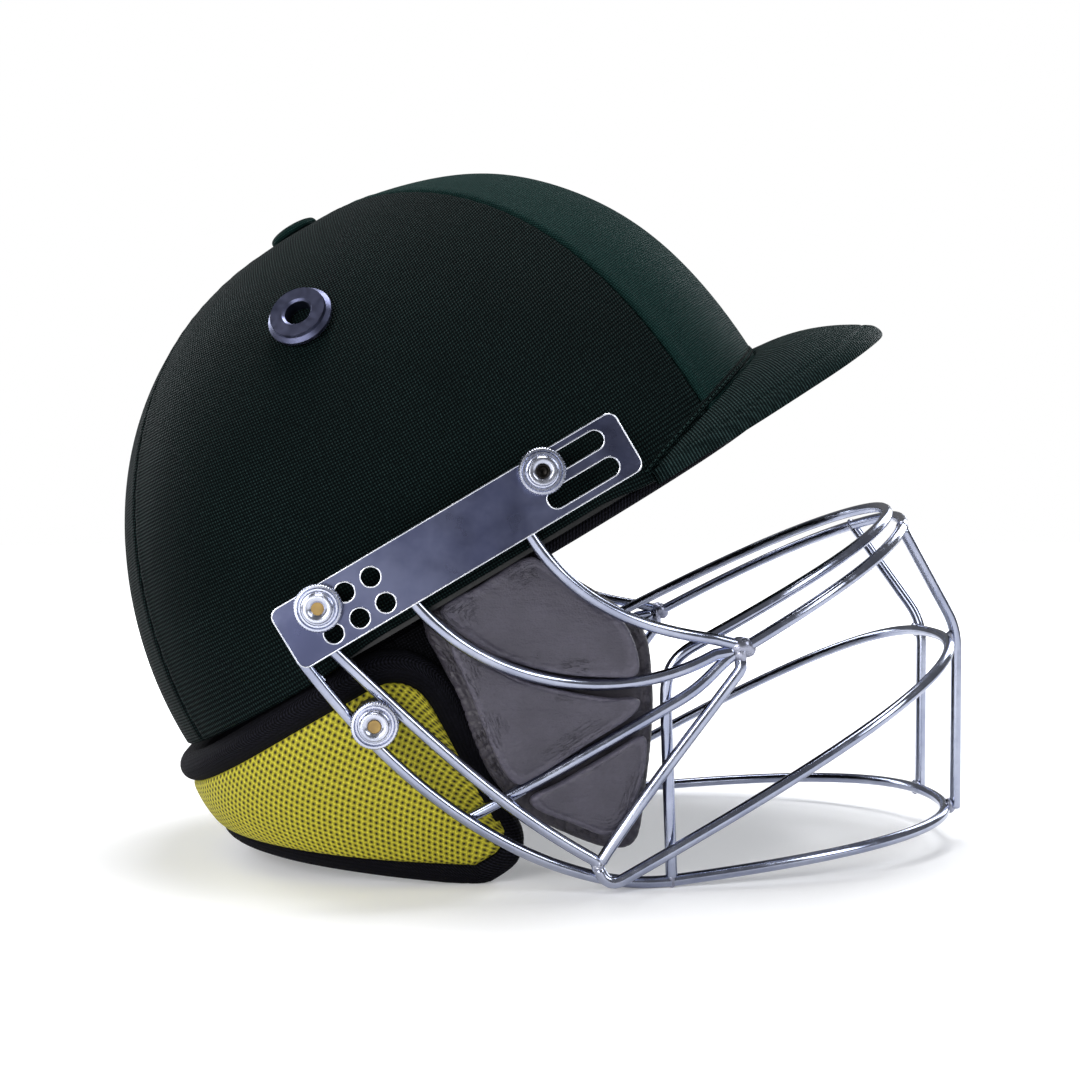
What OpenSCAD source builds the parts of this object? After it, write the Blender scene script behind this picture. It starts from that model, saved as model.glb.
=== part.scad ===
// Batting helmet with a cloth-covered shell, a peak, a wire face guard and a neck guard.
// It is modelled with the shell's rim level, facing +X, and then leaned back to stand as photographed.

/* [Shell] */
// Reach of the covered shell ahead of its middle
shell_front = 120; // [112:1:128]
// Reach of the covered shell behind its middle
shell_back = 133.4; // [126:0.2:140]
// Half of the covered shell's width
shell_half = 101.8; // [98:0.2:104]
// Height of the crown above the rim
shell_high = 141.2; // [130:0.2:150]
// Thickness of the cloth cover
cover_t = 1.2; // [0.8:0.1:2]
// Thickness of the rigid shell
shell_t = 3; // [2:0.1:4]
// Thickness of the foam liner
foam_t = 10; // [6:0.5:12]
// Thickness of the comfort pads
comfort_t = 8; // [4:0.5:10]
// Azimuth of the seams beside the front panel
front_seam = 45; // [38:1:52]
// Angle of the seams beside the back panel, from straight back
back_seam = 26; // [20:1:32]

/* [Peak] */
// Reach of the peak ahead of the shell
peak_reach = 46; // [36:1:52]
// Thickness of the peak's board
peak_board_t = 2.6; // [2:0.1:3.2]
// Thickness of the cloth on the peak
peak_cloth_t = 0.9; // [0.6:0.1:1.2]
// Rise of the peak's seam at the middle above its ends
peak_rise = 15; // [10:0.5:18]

/* [Crown button and vents] */
// Diameter of the crown button
button_d = 19; // [14:0.5:22]
// Height of the crown button
button_h = 4; // [3:0.5:6]
// Outer diameter of a vent eyelet
vent_d = 22.5; // [18:0.5:24]
// Bore of a vent eyelet
vent_bore_d = 9.2; // [7:0.1:10]
// Height of a vent eyelet above the cloth
vent_h = 4.5; // [3:0.5:6]

/* [Side plates] */
// Length of a side plate
plate_l = 125; // [122:0.5:130]
// Height of a side plate
plate_h = 20.8; // [20:0.1:23]
// Thickness of a side plate
plate_t = 1.5; // [1.2:0.1:2.5]
// Space between the cloth at its widest and a side plate
plate_clear = 4.7; // [4.5:0.1:7]
// Diameter of a plate's fixing holes
plate_hole_d = 6.6; // [5.5:0.1:7]
// Pitch of a plate's fixing holes
plate_pitch = 9.4; // [9:0.1:10]
// Width of a plate's slots
slot_w = 6.6; // [5.5:0.1:7]
// Length of a plate's slots
slot_l = 26; // [20:0.5:28]

/* [Wires] */
// Diameter of the guard's wires
wire_d = 4; // [3.4:0.1:4.2]
// Reach of the first ring
ring1_x = 120.7; // [116:0.5:121.5]
// Reach of the second ring
ring2_x = 124.3; // [122:0.5:130]
// Reach of the middle ring
ring3_x = 114.2; // [110:0.2:118]
// Reach of the chin ring
ring4_x = 82.4; // [76:0.2:88]
// Depth of the first ring's front
ring1_drop = 56.8; // [54:0.2:57.5]
// Depth of the second ring's front
ring2_drop = 63; // [62:0.2:66]
// Depth of the middle ring's front
ring3_drop = 110.1; // [108:0.2:112]
// Depth of the chin ring's front
ring4_drop = 166; // [162:0.5:170]
// Half of the space between the two front bars at their tops
bar_top_half = 32; // [26:1:36]
// Half of the space between the two front bars below the middle ring
bar_half = 20.4; // [14:0.2:26]

/* [Fasteners] */
// Diameter of a thumb nut
nut_d = 15.4; // [14:0.1:16]
// Height of a thumb nut
nut_h = 6.2; // [5:0.1:8]
// Diameter of the screws
screw_d = 4; // [3:0.1:4.4]
// Number of grooves round a thumb nut
nut_grooves = 30; // [24:1:36]

/* [Cheek pads] */
// Thickness of a cheek pad's base
cheek_base_t = 14; // [8:0.5:18]
// Height of the crowned panels on the base
cheek_crown = 7; // [5:0.5:8]

/* [Neck guard] */
// Thickness of the mesh pad
mesh_t = 4.4; // [3:0.1:5]
// Thickness of the backing
backing_t = 4; // [3:0.1:5]
// Diameter of the knitted roll under the rim
roll_d = 12; // [10:0.1:12.4]
// Diameter of the bound edge
binding_d = 9.6; // [8.6:0.1:10.5]
// Half of the guard's width at its top
guard_half = 93.6; // [90:0.2:94]
// How much narrower each side of the guard is at its bottom
guard_taper = 18; // [10:0.5:22]

/* [Stance] */
// Lean of the helmet as it stands, nose up
tilt = 30.6; // [27:0.2:34]

/* [Hidden] */

// Clearances: between soft pieces, between the shell's layers, at welds, and of a thread
gap = 0.3;
layer_gap = 0.5;
weld_gap = 0.2;
running = 0.05;

// Places in the head frame: the rim's height, the shell's middle and where its panels meet
rim_z = 4.5;
shell_x = -17;
seams_x = -20;

// Facets round the shell's layers and from the rim to the crown, and how far inside the curve they lie
turns = 36;
rows = 11;
sag = 0.9;

// Depths of the shell's layers below the cloth's outer face
shell_off = -cover_t - layer_gap;
foam_off = shell_off - shell_t - layer_gap;
comfort_off = foam_off - foam_t - layer_gap - sag;

// Side plates, their holes and slots, and the places of the nuts on them
wire_r = wire_d / 2;
screw_r = screw_d / 2;
plate_in = shell_half + plate_clear;
plate_out = plate_in + plate_t;
plate_rear = -91;
plate_low = 9.8;
plate_corner = 3;
hole_z = [plate_low + 5, plate_low + 5 + plate_pitch];
hole_x = [for (k = [0:2]) plate_rear + 14.2 + k * plate_pitch];
slot_x = plate_rear + plate_l - 19.4;
slot_z = [plate_low + 5.7, plate_low + 15.5];
front_nut = [slot_x - (slot_l - slot_w) / 2, slot_z[1]];
rear_nut = [hole_x[0], hole_z[1]];
head_r = 6;
head_t = 1.6;
spacer_r = 7;

// Side wires: their welds behind the plates, the cheek joint and the jaw joint
wire_y = plate_in - wire_r - weld_gap;
wire_top = plate_low + 4;
cheek_x = 32.5;
cheek_y = 88.4;
jaw_x = -44;
jaw_y = 90;
jaw_z = -ring3_drop + 13.1;
jaw_bend = 4.6;
loop_y = jaw_y - wire_d - weld_gap;
drop_y = cheek_y - wire_d - 0.5;

// The rings' tails, half-widths, powers and slopes
ring1_tail = -90.6;
ring1_half = 87.5;
ring2_tail = -63.4;
ring2_half = 91;
ring3_tail = -130;
ring3_half = 90.5;
ring4_tail = -108.3;
ring4_half = 84.4;

// Clamp of the neck guard on the wires
clamp = [-81, -16.8];
clamp_r = 7;

// Neck guard: its outline in side view
guard_front = -63.5;
guard_reach = 93;
guard_power = 2.3;
guard_corner = 9;
guard_top_side = -2.4;
guard_top_back = -4.4;
guard_slope = 0.68;
binding_r = binding_d / 2;
roll_r = roll_d / 2;
inset = binding_r + gap + 0.3;

// Stance: the chin ring's lowest point stands on the floor
lift = wire_r - min([for (p = chin_path()) height(p)]);
floor_cut = 0.5;
touch = wire_d + weld_gap;
back_reach = max([for (j = [0:rows - 1]) let (p = dome(aim(180, 90 * j / rows), 0))
    p[2] * sin(tilt) - p[0] * cos(tilt)]);
front_reach = wire_r + max([for (p = bar_path()) p[0] * cos(tilt) - p[2] * sin(tilt)]);
centre_x = (back_reach - front_reach) / 2;

// Height of a point of the head frame above the middle of the leaning frame
function height(p) = p[0] * sin(tilt) + p[2] * cos(tilt);

module stand() {
    translate([centre_x, 0, lift]) rotate([0, -tilt, 0]) children();
}

// The same piece on the right side, s = 1, or on the left side, s = -1
module side(s) {
    if (s > 0) {
        children();
    } else {
        mirror([0, 1, 0]) children();
    }
}

function spow(v, p) = sign(v) * pow(abs(v), p);
function unit(v) = v / norm(v);
function ease(t) = t <= 0 ? 0 : t >= 1 ? 1 : t * t * (3 - 2 * t);
function mix(a, b, t) = a + (b - a) * t;
function aim(az, el) = [cos(az) * cos(el), sin(az) * cos(el), sin(el)];
function ccw(p) = [for (k = [len(p) - 1:-1:0]) p[k]];
function mirrored(p) = [for (q = p) [q[0], -q[1], q[2]]];

// The shell's surface in a direction from its middle, moved outwards by off. Seen from the side the
// curve is a superellipse of power n, and across the helmet it is one of power m.
function side_power(c) = 2.27 + 0.21 * c;
function cross_power(c) = 2.2 + 0.43 * c * c;
function dome(d, off) = let (
    q = max(norm([d[0], d[2]]), 1e-9),
    n = side_power(d[0] / q),
    m = cross_power(d[0] / q),
    r = pow(pow(pow(abs(d[0]), n) + pow(abs(d[2]), n), m / n) + pow(abs(d[1]), m), -1 / m),
    a = d[0] > 0 ? shell_front : shell_back)
    [shell_x + (a + off) * d[0] * r, (shell_half + off) * d[1] * r, rim_z + (shell_high + off) * d[2] * r];

// Outward normal of the shell's surface
function dome_normal(az, el) = unit(cross(
    dome(aim(az + 0.5, el), 0) - dome(aim(az - 0.5, el), 0),
    dome(aim(az, el + 0.5), 0) - dome(aim(az, el - 0.5), 0)));

// Half-width of the shell's surface at a place in its side view
function dome_y(x, z, off) = let (
    u = (x - shell_x) / ((x > shell_x ? shell_front : shell_back) + off),
    w = max(z - rim_z, 0) / (shell_high + off),
    q = max(norm([u, w]), 1e-9),
    n = side_power(u / q),
    m = cross_power(u / q))
    (shell_half + off) * pow(1 - pow(pow(abs(u), n) + pow(w, n), m / n), 1 / m);
function around(p, r) = [for (a = [0:45:315]) [p[0] + r * cos(a), p[1] + r * sin(a)]];
function least_y(p, r, off) = min([for (q = around(p, r)) dome_y(q[0], q[1], off)]);
function most_y(p, r, off) = max([for (q = around(p, r)) dome_y(q[0], q[1], off)]);

// Closed dome of even thickness between two depths, with a level rim
module dome_layer(out, in) {
    n = turns * rows;
    o = n + 1;
    dirs = [for (j = [0:rows - 1], i = [0:turns - 1]) aim(360 * i / turns, 90 * j / rows)];
    pts = concat([for (d = dirs) dome(d, out)], [dome([0, 0, 1], out)],
        [for (d = dirs) dome(d, in)], [dome([0, 0, 1], in)]);
    faces = concat(
        [for (j = [0:rows - 2], i = [0:turns - 1]) let (a = j * turns + i, b = j * turns + (i + 1) % turns)
            each [[a, b + turns, b], [a, a + turns, b + turns]]],
        [for (i = [0:turns - 1]) [(rows - 1) * turns + i, n, (rows - 1) * turns + (i + 1) % turns]],
        [for (j = [0:rows - 2], i = [0:turns - 1])
            let (a = o + j * turns + i, b = o + j * turns + (i + 1) % turns)
            each [[a, b, b + turns], [a, b + turns, a + turns]]],
        [for (i = [0:turns - 1]) [o + (rows - 1) * turns + i, o + (rows - 1) * turns + (i + 1) % turns, o + n]],
        [for (i = [0:turns - 1]) let (k = (i + 1) % turns) each [[i, k, o + k], [i, o + k, o + i]]]);
    polyhedron(pts, faces, convexity = 6);
}

// Closed slab between two grids of nu by nv points, the outer one first
function slab_faces(nu, nv) = let (o = nu * nv) concat(
    [for (i = [0:nu - 2], j = [0:nv - 2]) let (a = i * nv + j, b = a + nv)
        each [[a, a + 1, b + 1], [a, b + 1, b]]],
    [for (i = [0:nu - 2], j = [0:nv - 2]) let (a = o + i * nv + j, b = a + nv)
        each [[a, b + 1, a + 1], [a, b, b + 1]]],
    [for (i = [0:nu - 2]) let (a = i * nv, b = a + nv) each [[a, b, o + b], [a, o + b, o + a]]],
    [for (i = [0:nu - 2]) let (a = i * nv + nv - 1, b = a + nv) each [[a, o + b, b], [a, o + a, o + b]]],
    [for (a = [0:nv - 2]) each [[a, o + a + 1, a + 1], [a, o + a, o + a + 1]]],
    [for (j = [0:nv - 2]) let (a = (nu - 1) * nv + j) each [[a, a + 1, o + a + 1], [a, o + a + 1, o + a]]]);
module slab(outer, inner, nu, nv) {
    polyhedron(concat(outer, inner), slab_faces(nu, nv), convexity = 6);
}

// Points of a cubic curve through p[0] and p[3]
function bezier(p, steps) = [for (k = [0:steps]) let (t = k / steps, s = 1 - t)
    s * s * s * p[0] + 3 * s * s * t * p[1] + 3 * s * t * t * p[2] + t * t * t * p[3]];

// Directions along a path, and a side vector carried along it without twist
function along(p) = let (n = len(p)) [for (i = [0:n - 1]) unit(p[min(i + 1, n - 1)] - p[max(i - 1, 0)])];
function carried(t, v, i = 0) = let (w = unit(v - (v * t[i]) * t[i]))
    i == len(t) - 1 ? [w] : concat([w], carried(t, w, i + 1));

// Round bar along a path, with a ring of points at each of its places
module tube(path, d, sides = 8) {
    t = along(path);
    v = carried(t, abs(t[0][2]) < 0.7 ? [0, 0, 1] : [0, 1, 0]);
    n = len(path);
    pts = [for (i = [0:n - 1], k = [0:sides - 1]) let (a = 360 * (k + 0.5) / sides)
        path[i] + d / 2 * (cos(a) * v[i] + sin(a) * cross(t[i], v[i]))];
    faces = concat(
        [for (i = [0:n - 2], k = [0:sides - 1]) let (a = i * sides + k, b = i * sides + (k + 1) % sides)
            each [[a, b, b + sides], [a, b + sides, a + sides]]],
        [[for (k = [sides - 1:-1:0]) k]],
        [[for (k = [0:sides - 1]) (n - 1) * sides + k]]);
    polyhedron(pts, ccw([for (f = faces) ccw(f)]), convexity = 8);
}

// Cushion on a closed outline of [x, z] points: a flat back, drawn-in sides and a crowned face
module cushion(outline, back, face, rings = 5) {
    n = len(outline);
    mid = [for (k = [0:1]) [for (p = outline) p[k]] * [for (p = outline) 1] / n];
    rows = concat([[0.93, 0]],
        [for (k = [0:rings - 1]) let (a = 90 * k / rings) [pow(cos(a), 0.55), 0.4 + 0.6 * pow(sin(a), 0.8)]]);
    m = len(rows);
    pts = concat(
        [for (s = rows, p = outline) let (q = mid + (p - mid) * s[0]) [q[0], -mix(back(q[1]), face(q[1]), s[1]), q[1]]],
        [[mid[0], -back(mid[1]), mid[1]], [mid[0], -face(mid[1]), mid[1]]]);
    faces = concat(
        [for (i = [0:m - 2], k = [0:n - 1]) let (a = i * n + k, b = i * n + (k + 1) % n)
            each [[a, b, b + n], [a, b + n, a + n]]],
        [for (k = [0:n - 1]) [m * n, (k + 1) % n, k]],
        [for (k = [0:n - 1]) [m * n + 1, (m - 1) * n + k, (m - 1) * n + (k + 1) % n]]);
    polyhedron(pts, faces, convexity = 4);
}

// Smooth closed curve through a few points, with some steps between each two
function through(p, steps) = let (n = len(p)) [for (i = [0:n - 1], k = [0:steps - 1])
    let (t = k / steps, a = p[(i + n - 1) % n], b = p[i], c = p[(i + 1) % n], d = p[(i + 2) % n])
    0.5 * (2 * b + (c - a) * t + (2 * a - 5 * b + 4 * c - d) * t * t + (3 * b - a - 3 * c + d) * t * t * t)];

// SHELL

// Wedge of space round the panels' meeting point, between two azimuths, with a hair of seam on each side
module wedge(a0, a1) {
    far = 400;
    mid = (a0 + a1) / 2;
    translate([seams_x, 0, -50])
        linear_extrude(height = 300)
            polygon([gap / 2 / sin((a1 - a0) / 2) * [cos(mid), sin(mid)],
                far * [cos(a0), sin(a0)], far * [cos((a0 + mid) / 2), sin((a0 + mid) / 2)],
                far * [cos(mid), sin(mid)], far * [cos((a1 + mid) / 2), sin((a1 + mid) / 2)],
                far * [cos(a1), sin(a1)]]);
}

// Bores through the shell's side for the screws, from some way inside to some way outside
module side_bores(r, y0 = 50, y1 = 120) {
    for (s = [1, -1], p = [front_nut, rear_nut]) {
        translate([p[0], -s * (y0 + y1) / 2, p[1]]) rotate([90, 0, 0]) cylinder(r = r, h = y1 - y0, center = true, $fn = 32);
    }
}

vent_az = -100.7;
vent_el = 45.1;
vent_barrel_r = vent_bore_d / 2 + 1.6;
module at_vent(s) {
    p = dome(aim(vent_az, vent_el), 0);
    v = dome_normal(vent_az, vent_el);
    side(s) translate(p) rotate([0, acos(v[2]), atan2(v[1], v[0])]) children();
}
module vent_bores(r) {
    for (s = [1, -1]) {
        at_vent(s) cylinder(r = r, h = 80, center = true, $fn = 32);
    }
}

module shell() {
    color("#2c2e2f")
        stand()
            difference() {
                dome_layer(shell_off, shell_off - shell_t);
                side_bores(screw_r + gap);
                vent_bores(vent_barrel_r + gap);
            }
}

module cover(a0, a1) {
    color("#0f3a35")
        stand()
            difference() {
                intersection() {
                    dome_layer(0, -cover_t);
                    wedge(a0, a1);
                }
                side_bores(screw_r + gap);
                vent_bores(vent_barrel_r + gap);
            }
}
module cover_front() { cover(-front_seam, front_seam); }
module cover_back() { cover(180 - back_seam, 180 + back_seam); }
module cover_right() { cover(back_seam - 180, -front_seam); }
module cover_left() { cover(front_seam, 180 - back_seam); }

module foam_liner() {
    color("#3b3d40")
        stand()
            difference() {
                dome_layer(foam_off, foam_off - foam_t);
                for (s = [1, -1], p = [front_nut, rear_nut]) {
                    inner = least_y(p, head_r, shell_off - shell_t) - sag - gap - head_t;
                    translate([p[0], -s * (inner + 20), p[1]])
                        rotate([90, 0, 0]) cylinder(r = head_r + 0.8, h = 40, center = true, $fn = 32);
                }
                vent_bores(vent_bore_d / 2);
            }
}

// Pad on the liner's inside over a range of directions, thick in its middle and thin at its edges
module liner_pad(dirs, nu, nv, off = comfort_off) {
    thick = [for (i = [0:nu - 1], j = [0:nv - 1])
        comfort_t * (0.35 + 0.65 * pow(sin(180 * i / (nu - 1)) * sin(180 * j / (nv - 1)), 0.5))];
    slab([for (d = dirs) dome(d, off)],
        [for (k = [0:len(dirs) - 1]) dome(dirs[k], off - thick[k])], nu, nv);
}
module ring_pad(a0, a1, e0, e1, nu = 9, nv = 6) {
    color("#232427")
        stand()
            liner_pad([for (i = [0:nu - 1], j = [0:nv - 1])
                aim(mix(a0, a1, i / (nu - 1)), mix(e0, e1, j / (nv - 1)))], nu, nv);
}
module brow_pad() { ring_pad(-52, 52, 3, 26); }
module nape_pad() { ring_pad(142, 218, 3, 30); }
module temple_pad_right() { ring_pad(-132, -64, 3, 30); }
module temple_pad_left() { ring_pad(64, 132, 3, 30); }
module crown_pad() {
    n = 8;
    color("#232427")
        stand()
            liner_pad([for (i = [0:n - 1], j = [0:n - 1])
                unit([mix(-0.62, 0.62, i / (n - 1)), mix(-0.5, 0.5, j / (n - 1)), 1])], n, n,
                comfort_off + sag / 2);
}

// Knitted sweat band that shows below the rim round the brow
band_r = 2;
module brow_band() {
    color("#141517")
        stand()
            tube([for (k = [-12:12]) let (p = dome(aim(k * 7, 0), -9.5)) [p[0], p[1], rim_z - band_r - gap]],
                2 * band_r);
}

// PEAK

// The seam on the shell's front and the peak's edge, for t from -1 at its right end to 1 at its left end
peak_end = 66;
peak_edge_z = 4;
function seam_z(t) = rim_z + 1.5 + peak_rise * sqrt(max(1 - pow(abs(t), 5), 0));
function seam_point(t) = let (
    a = peak_end * spow(t, 0.9),
    el = asin((seam_z(t) - rim_z) / shell_high),
    p = dome([cos(a) * cos(el), sin(a) * cos(el), sin(el)], 0))
    p + layer_gap * unit([p[0] - shell_x, p[1], 0]);
function edge_point(t) = let (
    a = 90 * t,
    s = seam_point(1),
    reach = shell_x + shell_front + peak_reach - s[0] - 4)
    [s[0] + 4 + reach * pow(cos(a), 0.83), (abs(s[1]) + 1) * spow(sin(a), 0.83), peak_edge_z];

// A point of the peak's middle surface, u from the seam to the edge
function peak_point(t, u) = let (a = seam_point(t), b = edge_point(t), rise = a[2] - b[2])
    [mix(a[0], b[0], u), mix(a[1], b[1], u), a[2] - 2.2 - rise * pow(u, 2) + 2.2 * u];
peak_nu = 25;
peak_nv = 6;
module peak_layer(low, high, trim = 0) {
    grid = [for (i = [0:peak_nu - 1], j = [0:peak_nv - 1])
        peak_point(0.985 * (2 * i / (peak_nu - 1) - 1), (1 - trim) * j / (peak_nv - 1))];
    slab([for (p = grid) p + [0, 0, low]], [for (p = grid) p + [0, 0, high]], peak_nu, peak_nv);
}
half_board = peak_board_t / 2;
module peak_board() {
    color("#26282a") stand() peak_layer(-half_board, half_board, 0.02);
}
module peak_top() {
    color("#12423c") stand() peak_layer(half_board + weld_gap, half_board + weld_gap + peak_cloth_t);
}
module peak_under() {
    color("#0d2f2b") stand() peak_layer(-half_board - weld_gap - peak_cloth_t, -half_board - weld_gap);
}

// BUTTON AND VENTS

button_x = -21;
module crown_button() {
    el = 88.3;
    p = dome(aim(180, el), 0);
    v = dome_normal(180, el);
    r = button_d / 2;
    color("#0f3a35")
        stand()
            translate(p) rotate([0, -acos(v[2]), 0]) translate([0, 0, gap])
                rotate_extrude($fn = 48)
                    polygon([[0, 0], [r * 0.9, 0], [r, button_h * 0.25], [r, button_h * 0.5],
                        [r * 0.93, button_h * 0.78], [r * 0.72, button_h * 0.94], [r * 0.4, button_h], [0, button_h]]);
}

module vent(s) {
    r = vent_bore_d / 2;
    depth = cover_t + layer_gap + shell_t;
    color("#55607a")
        stand()
            at_vent(s)
                rotate_extrude($fn = 64)
                    polygon([[r, -depth], [vent_barrel_r, -depth], [vent_barrel_r, gap], [vent_d / 2 - 0.6, gap],
                        [vent_d / 2, gap + 0.8], [vent_d / 2, vent_h * 0.5], [vent_d / 2 - 1.4, vent_h * 0.72],
                        [vent_d / 2 - 1.6, vent_h], [r + 0.8, vent_h], [r, vent_h - 0.6]]);
}
module vent_right() { vent(1); }
module vent_left() { vent(-1); }

// SIDE PLATES

module slot_shape(p) {
    for (e = [-1, 1]) {
        translate([p[0] + e * (slot_l - slot_w) / 2, p[1]]) circle(d = slot_w, $fn = 32);
    }
    translate([p[0] - (slot_l - slot_w) / 2, p[1] - slot_w / 2]) square([slot_l - slot_w, slot_w]);
}
module plate_outline() {
    c = plate_corner;
    for (x = [plate_rear + c, plate_rear + plate_l - c], z = [plate_low + c, plate_low + plate_h - c]) {
        translate([x, z]) circle(r = c, $fn = 32);
    }
    translate([plate_rear + c, plate_low]) square([plate_l - 2 * c, plate_h]);
    translate([plate_rear, plate_low + c]) square([plate_l, plate_h - 2 * c]);
}
module plate(s) {
    color("#8d96ad")
        stand()
            side(s)
                translate([0, -plate_in, 0]) rotate([90, 0, 0])
                    linear_extrude(height = plate_t)
                        difference() {
                            plate_outline();
                            for (x = hole_x, z = hole_z) {
                                translate([x, z]) circle(d = plate_hole_d, $fn = 32);
                            }
                            for (z = slot_z) {
                                slot_shape([slot_x, z]);
                            }
                        }
}
module plate_right() { plate(1); }
module plate_left() { plate(-1); }

// WIRES

// Front of a ring: x and y lie on a superellipse, and z falls away from its front with a slope
function ring(reach, tail, half, n, m, drop, slope, x_end, count) = let (
    l = reach - tail,
    last = acos(pow((x_end - tail) / l, n / 2)))
    [for (k = [-count:count]) let (a = last * k / count, x = tail + l * pow(cos(a), 2 / n))
        [x, half * spow(sin(a), 2 / m), -drop + slope * (x - reach)]];
function ring1() = ring(ring1_x, ring1_tail, ring1_half, 4.58, 1.86, ring1_drop, -0.057, 22, 14);
function ring2() = ring(ring2_x, ring2_tail, ring2_half, 4.26, 1.7, ring2_drop, -0.0325, cheek_x, 13);
function ring3() = ring(ring3_x, ring3_tail, ring3_half, 4.43, 2.43, ring3_drop, -0.035, jaw_x + jaw_bend, 17);
function ring4() = ring(ring4_x, ring4_tail, ring4_half, 3.63, 2.24, ring4_drop, -0.468, -25, 14);

// A wire's distance from the middle, between the jaw and the plates
function wire_half(z, y_low) = mix(y_low, wire_y, (z - jaw_z) / (wire_top - jaw_z));
function both(tail, front) = concat(ccw(mirrored(tail)), front, tail);

// First ring: its ends turn down behind the side rods and stand on the chin ring
function first_path() = let (
    r = ring1(), q = r[len(r) - 1], c = ring4(), foot = c[len(c) - 1],
    dir = unit([4, drop_y, -62] - foot),
    end = foot + (wire_d + weld_gap) * dir,
    bend = bezier([q, q + [-9, 0, 0.3], [9, drop_y, -53.5], [4, drop_y, -62]], 6),
    tail = concat([for (k = [1:6]) bend[k]], [mix([4, drop_y, -62], end, 0.5), end]))
    both(tail, r);
module first_ring() {
    color("#aab2c8") stand() tube(first_path(), wire_d);
}

// Second ring: its ends run back inside the loops, between the cheek pad's panels
function second_path() = let (
    r = ring2(), q = r[len(r) - 1],
    tail = concat(
        [for (k = [1:4]) bezier([q, q + [-8, 0, 0.2], [20, cheek_y, -63.6], [8, cheek_y, -63.6]], 4)[k]],
        [[-16, cheek_y, -63.2], [-40, cheek_y - 0.4, -62.6], [-60, cheek_y - 0.8, -61.6], [-72, cheek_y - 1.4, -61]]))
    both(tail, r);
module second_ring() {
    color("#aab2c8") stand() tube(second_path(), wire_d);
}

// Middle ring: its ends bend up round the jaw joint
function middle_path() = let (
    r = ring3(), q = r[len(r) - 1],
    bend = [for (a = [22.5:22.5:90]) [q[0] - jaw_bend * sin(a), jaw_y, q[2] + jaw_bend * (1 - cos(a))]],
    tail = concat(bend, [[jaw_x, jaw_y, jaw_z]]))
    both(tail, r);
module middle_ring() {
    color("#aab2c8") stand() tube(middle_path(), wire_d);
}

// Chin ring: its ends run past the jaw joint and up to the plates as the outer loops
function outer_loop() = let (r = ring4(), q = r[len(r) - 1],
    curve = bezier([[q[0], q[2]], [-50, q[2] + 0.468 * (q[0] + 50)], [-84, -64], [plate_rear + 1, wire_top]], 16))
    [for (k = [1:16]) let (p = curve[k])
        [p[0], mix(mix(q[1], loop_y, ease(k / 5)), wire_y, max(0, (p[1] - jaw_z) / (wire_top - jaw_z))), p[1]]];
function chin_path() = both(outer_loop(), ring4());
module chin_ring() {
    color("#aab2c8") stand() tube(chin_path(), wire_d);
}

// Inner loops, from the jaw joint up to the plates
function inner_loop() = [for (p = bezier([[jaw_x + 0.6, jaw_z + wire_d + weld_gap - 1.4], [-58, jaw_z + 29], [-66, jaw_z + 53],
    [plate_rear + 10, wire_top]], 12)) [p[0], -wire_half(p[1], jaw_y), p[1]]];
module inner_loop_right() {
    color("#aab2c8") stand() tube(inner_loop(), wire_d);
}
module inner_loop_left() {
    color("#aab2c8") stand() side(-1) tube(inner_loop(), wire_d);
}

// Rods of the side: from a place behind the plate down to the second ring, or from the cheek joint to the jaw
function rod(p, y0, y1, steps) = [for (q = bezier(p, steps))
    [q[0], -mix(y1, y0, ease((q[1] - p[3][1]) / (min(p[0][1], 2) - p[3][1]))), q[1]]];
function ring2_z(x) = -ring2_drop - 0.0325 * (x - ring2_x);
module upper_rod(s) {
    end = [cheek_x, ring2_z(cheek_x) + touch + 0.1];
    color("#aab2c8")
        stand() side(s)
            tube(rod([[plate_rear + plate_l - 42, wire_top], [-9, -14], [6, -36], end], wire_y, cheek_y + 0.4, 11), wire_d);
}
module upper_rod_right() { upper_rod(1); }
module upper_rod_left() { upper_rod(-1); }
module pad_rod(s) {
    color("#aab2c8")
        stand() side(s)
            tube(rod([[plate_rear + 0.32 * plate_l, wire_top], [-47, -22], [-15, -55.5],
                [cheek_x - 7, ring2_z(cheek_x) + 3.2]], wire_y, cheek_y, 12), wire_d);
}
module pad_rod_right() { pad_rod(1); }
module pad_rod_left() { pad_rod(-1); }
module lower_rod(s) {
    color("#aab2c8")
        stand() side(s)
            tube(rod([[cheek_x - 2, ring2_z(cheek_x) - touch - 1.2], [14, -72.4], [-14, jaw_z + 14.6],
                [jaw_x + touch + 0.4, jaw_z + 2.6]], cheek_y, jaw_y, 8), wire_d);
}
module lower_rod_right() { lower_rod(1); }
module lower_rod_left() { lower_rod(-1); }

// Two bars down the front, under the second ring and outside the middle and chin rings
function ring_x_at(y, reach, tail, half, n, m) = tail + (reach - tail) * pow(1 - pow(y / half, m), 1 / n);
function bar_path() = let (
    x2 = ring_x_at(bar_top_half, ring2_x, ring2_tail, ring2_half, 4.26, 1.7),
    x3 = ring_x_at(bar_half, ring3_x, ring3_tail, ring3_half, 4.43, 2.43) + touch,
    x4 = ring_x_at(bar_half, ring4_x, ring4_tail, ring4_half, 3.63, 2.24),
    z4 = -ring4_drop - 0.468 * (x4 - ring4_x),
    down = unit([x4 + 3.7 - x3, 0, z4 - 2.2 + ring3_drop]),
    low = [x4, bar_half, z4] + touch * [-down[2], 0, down[0]] + 1.2 * down,
    top = [x2, bar_top_half, ring2_z(x2) - wire_r - 2 * weld_gap],
    bend = [x3 + 1.4, bar_half, -ring3_drop + 1],
    up = unit(top - bend),
    turn = [bend + 9 * up, bend + 2 * up, bend + 3 * unit(low - bend), bend + 10 * unit(low - bend)])
    concat([top], bezier(turn, 4), [low]);
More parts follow.
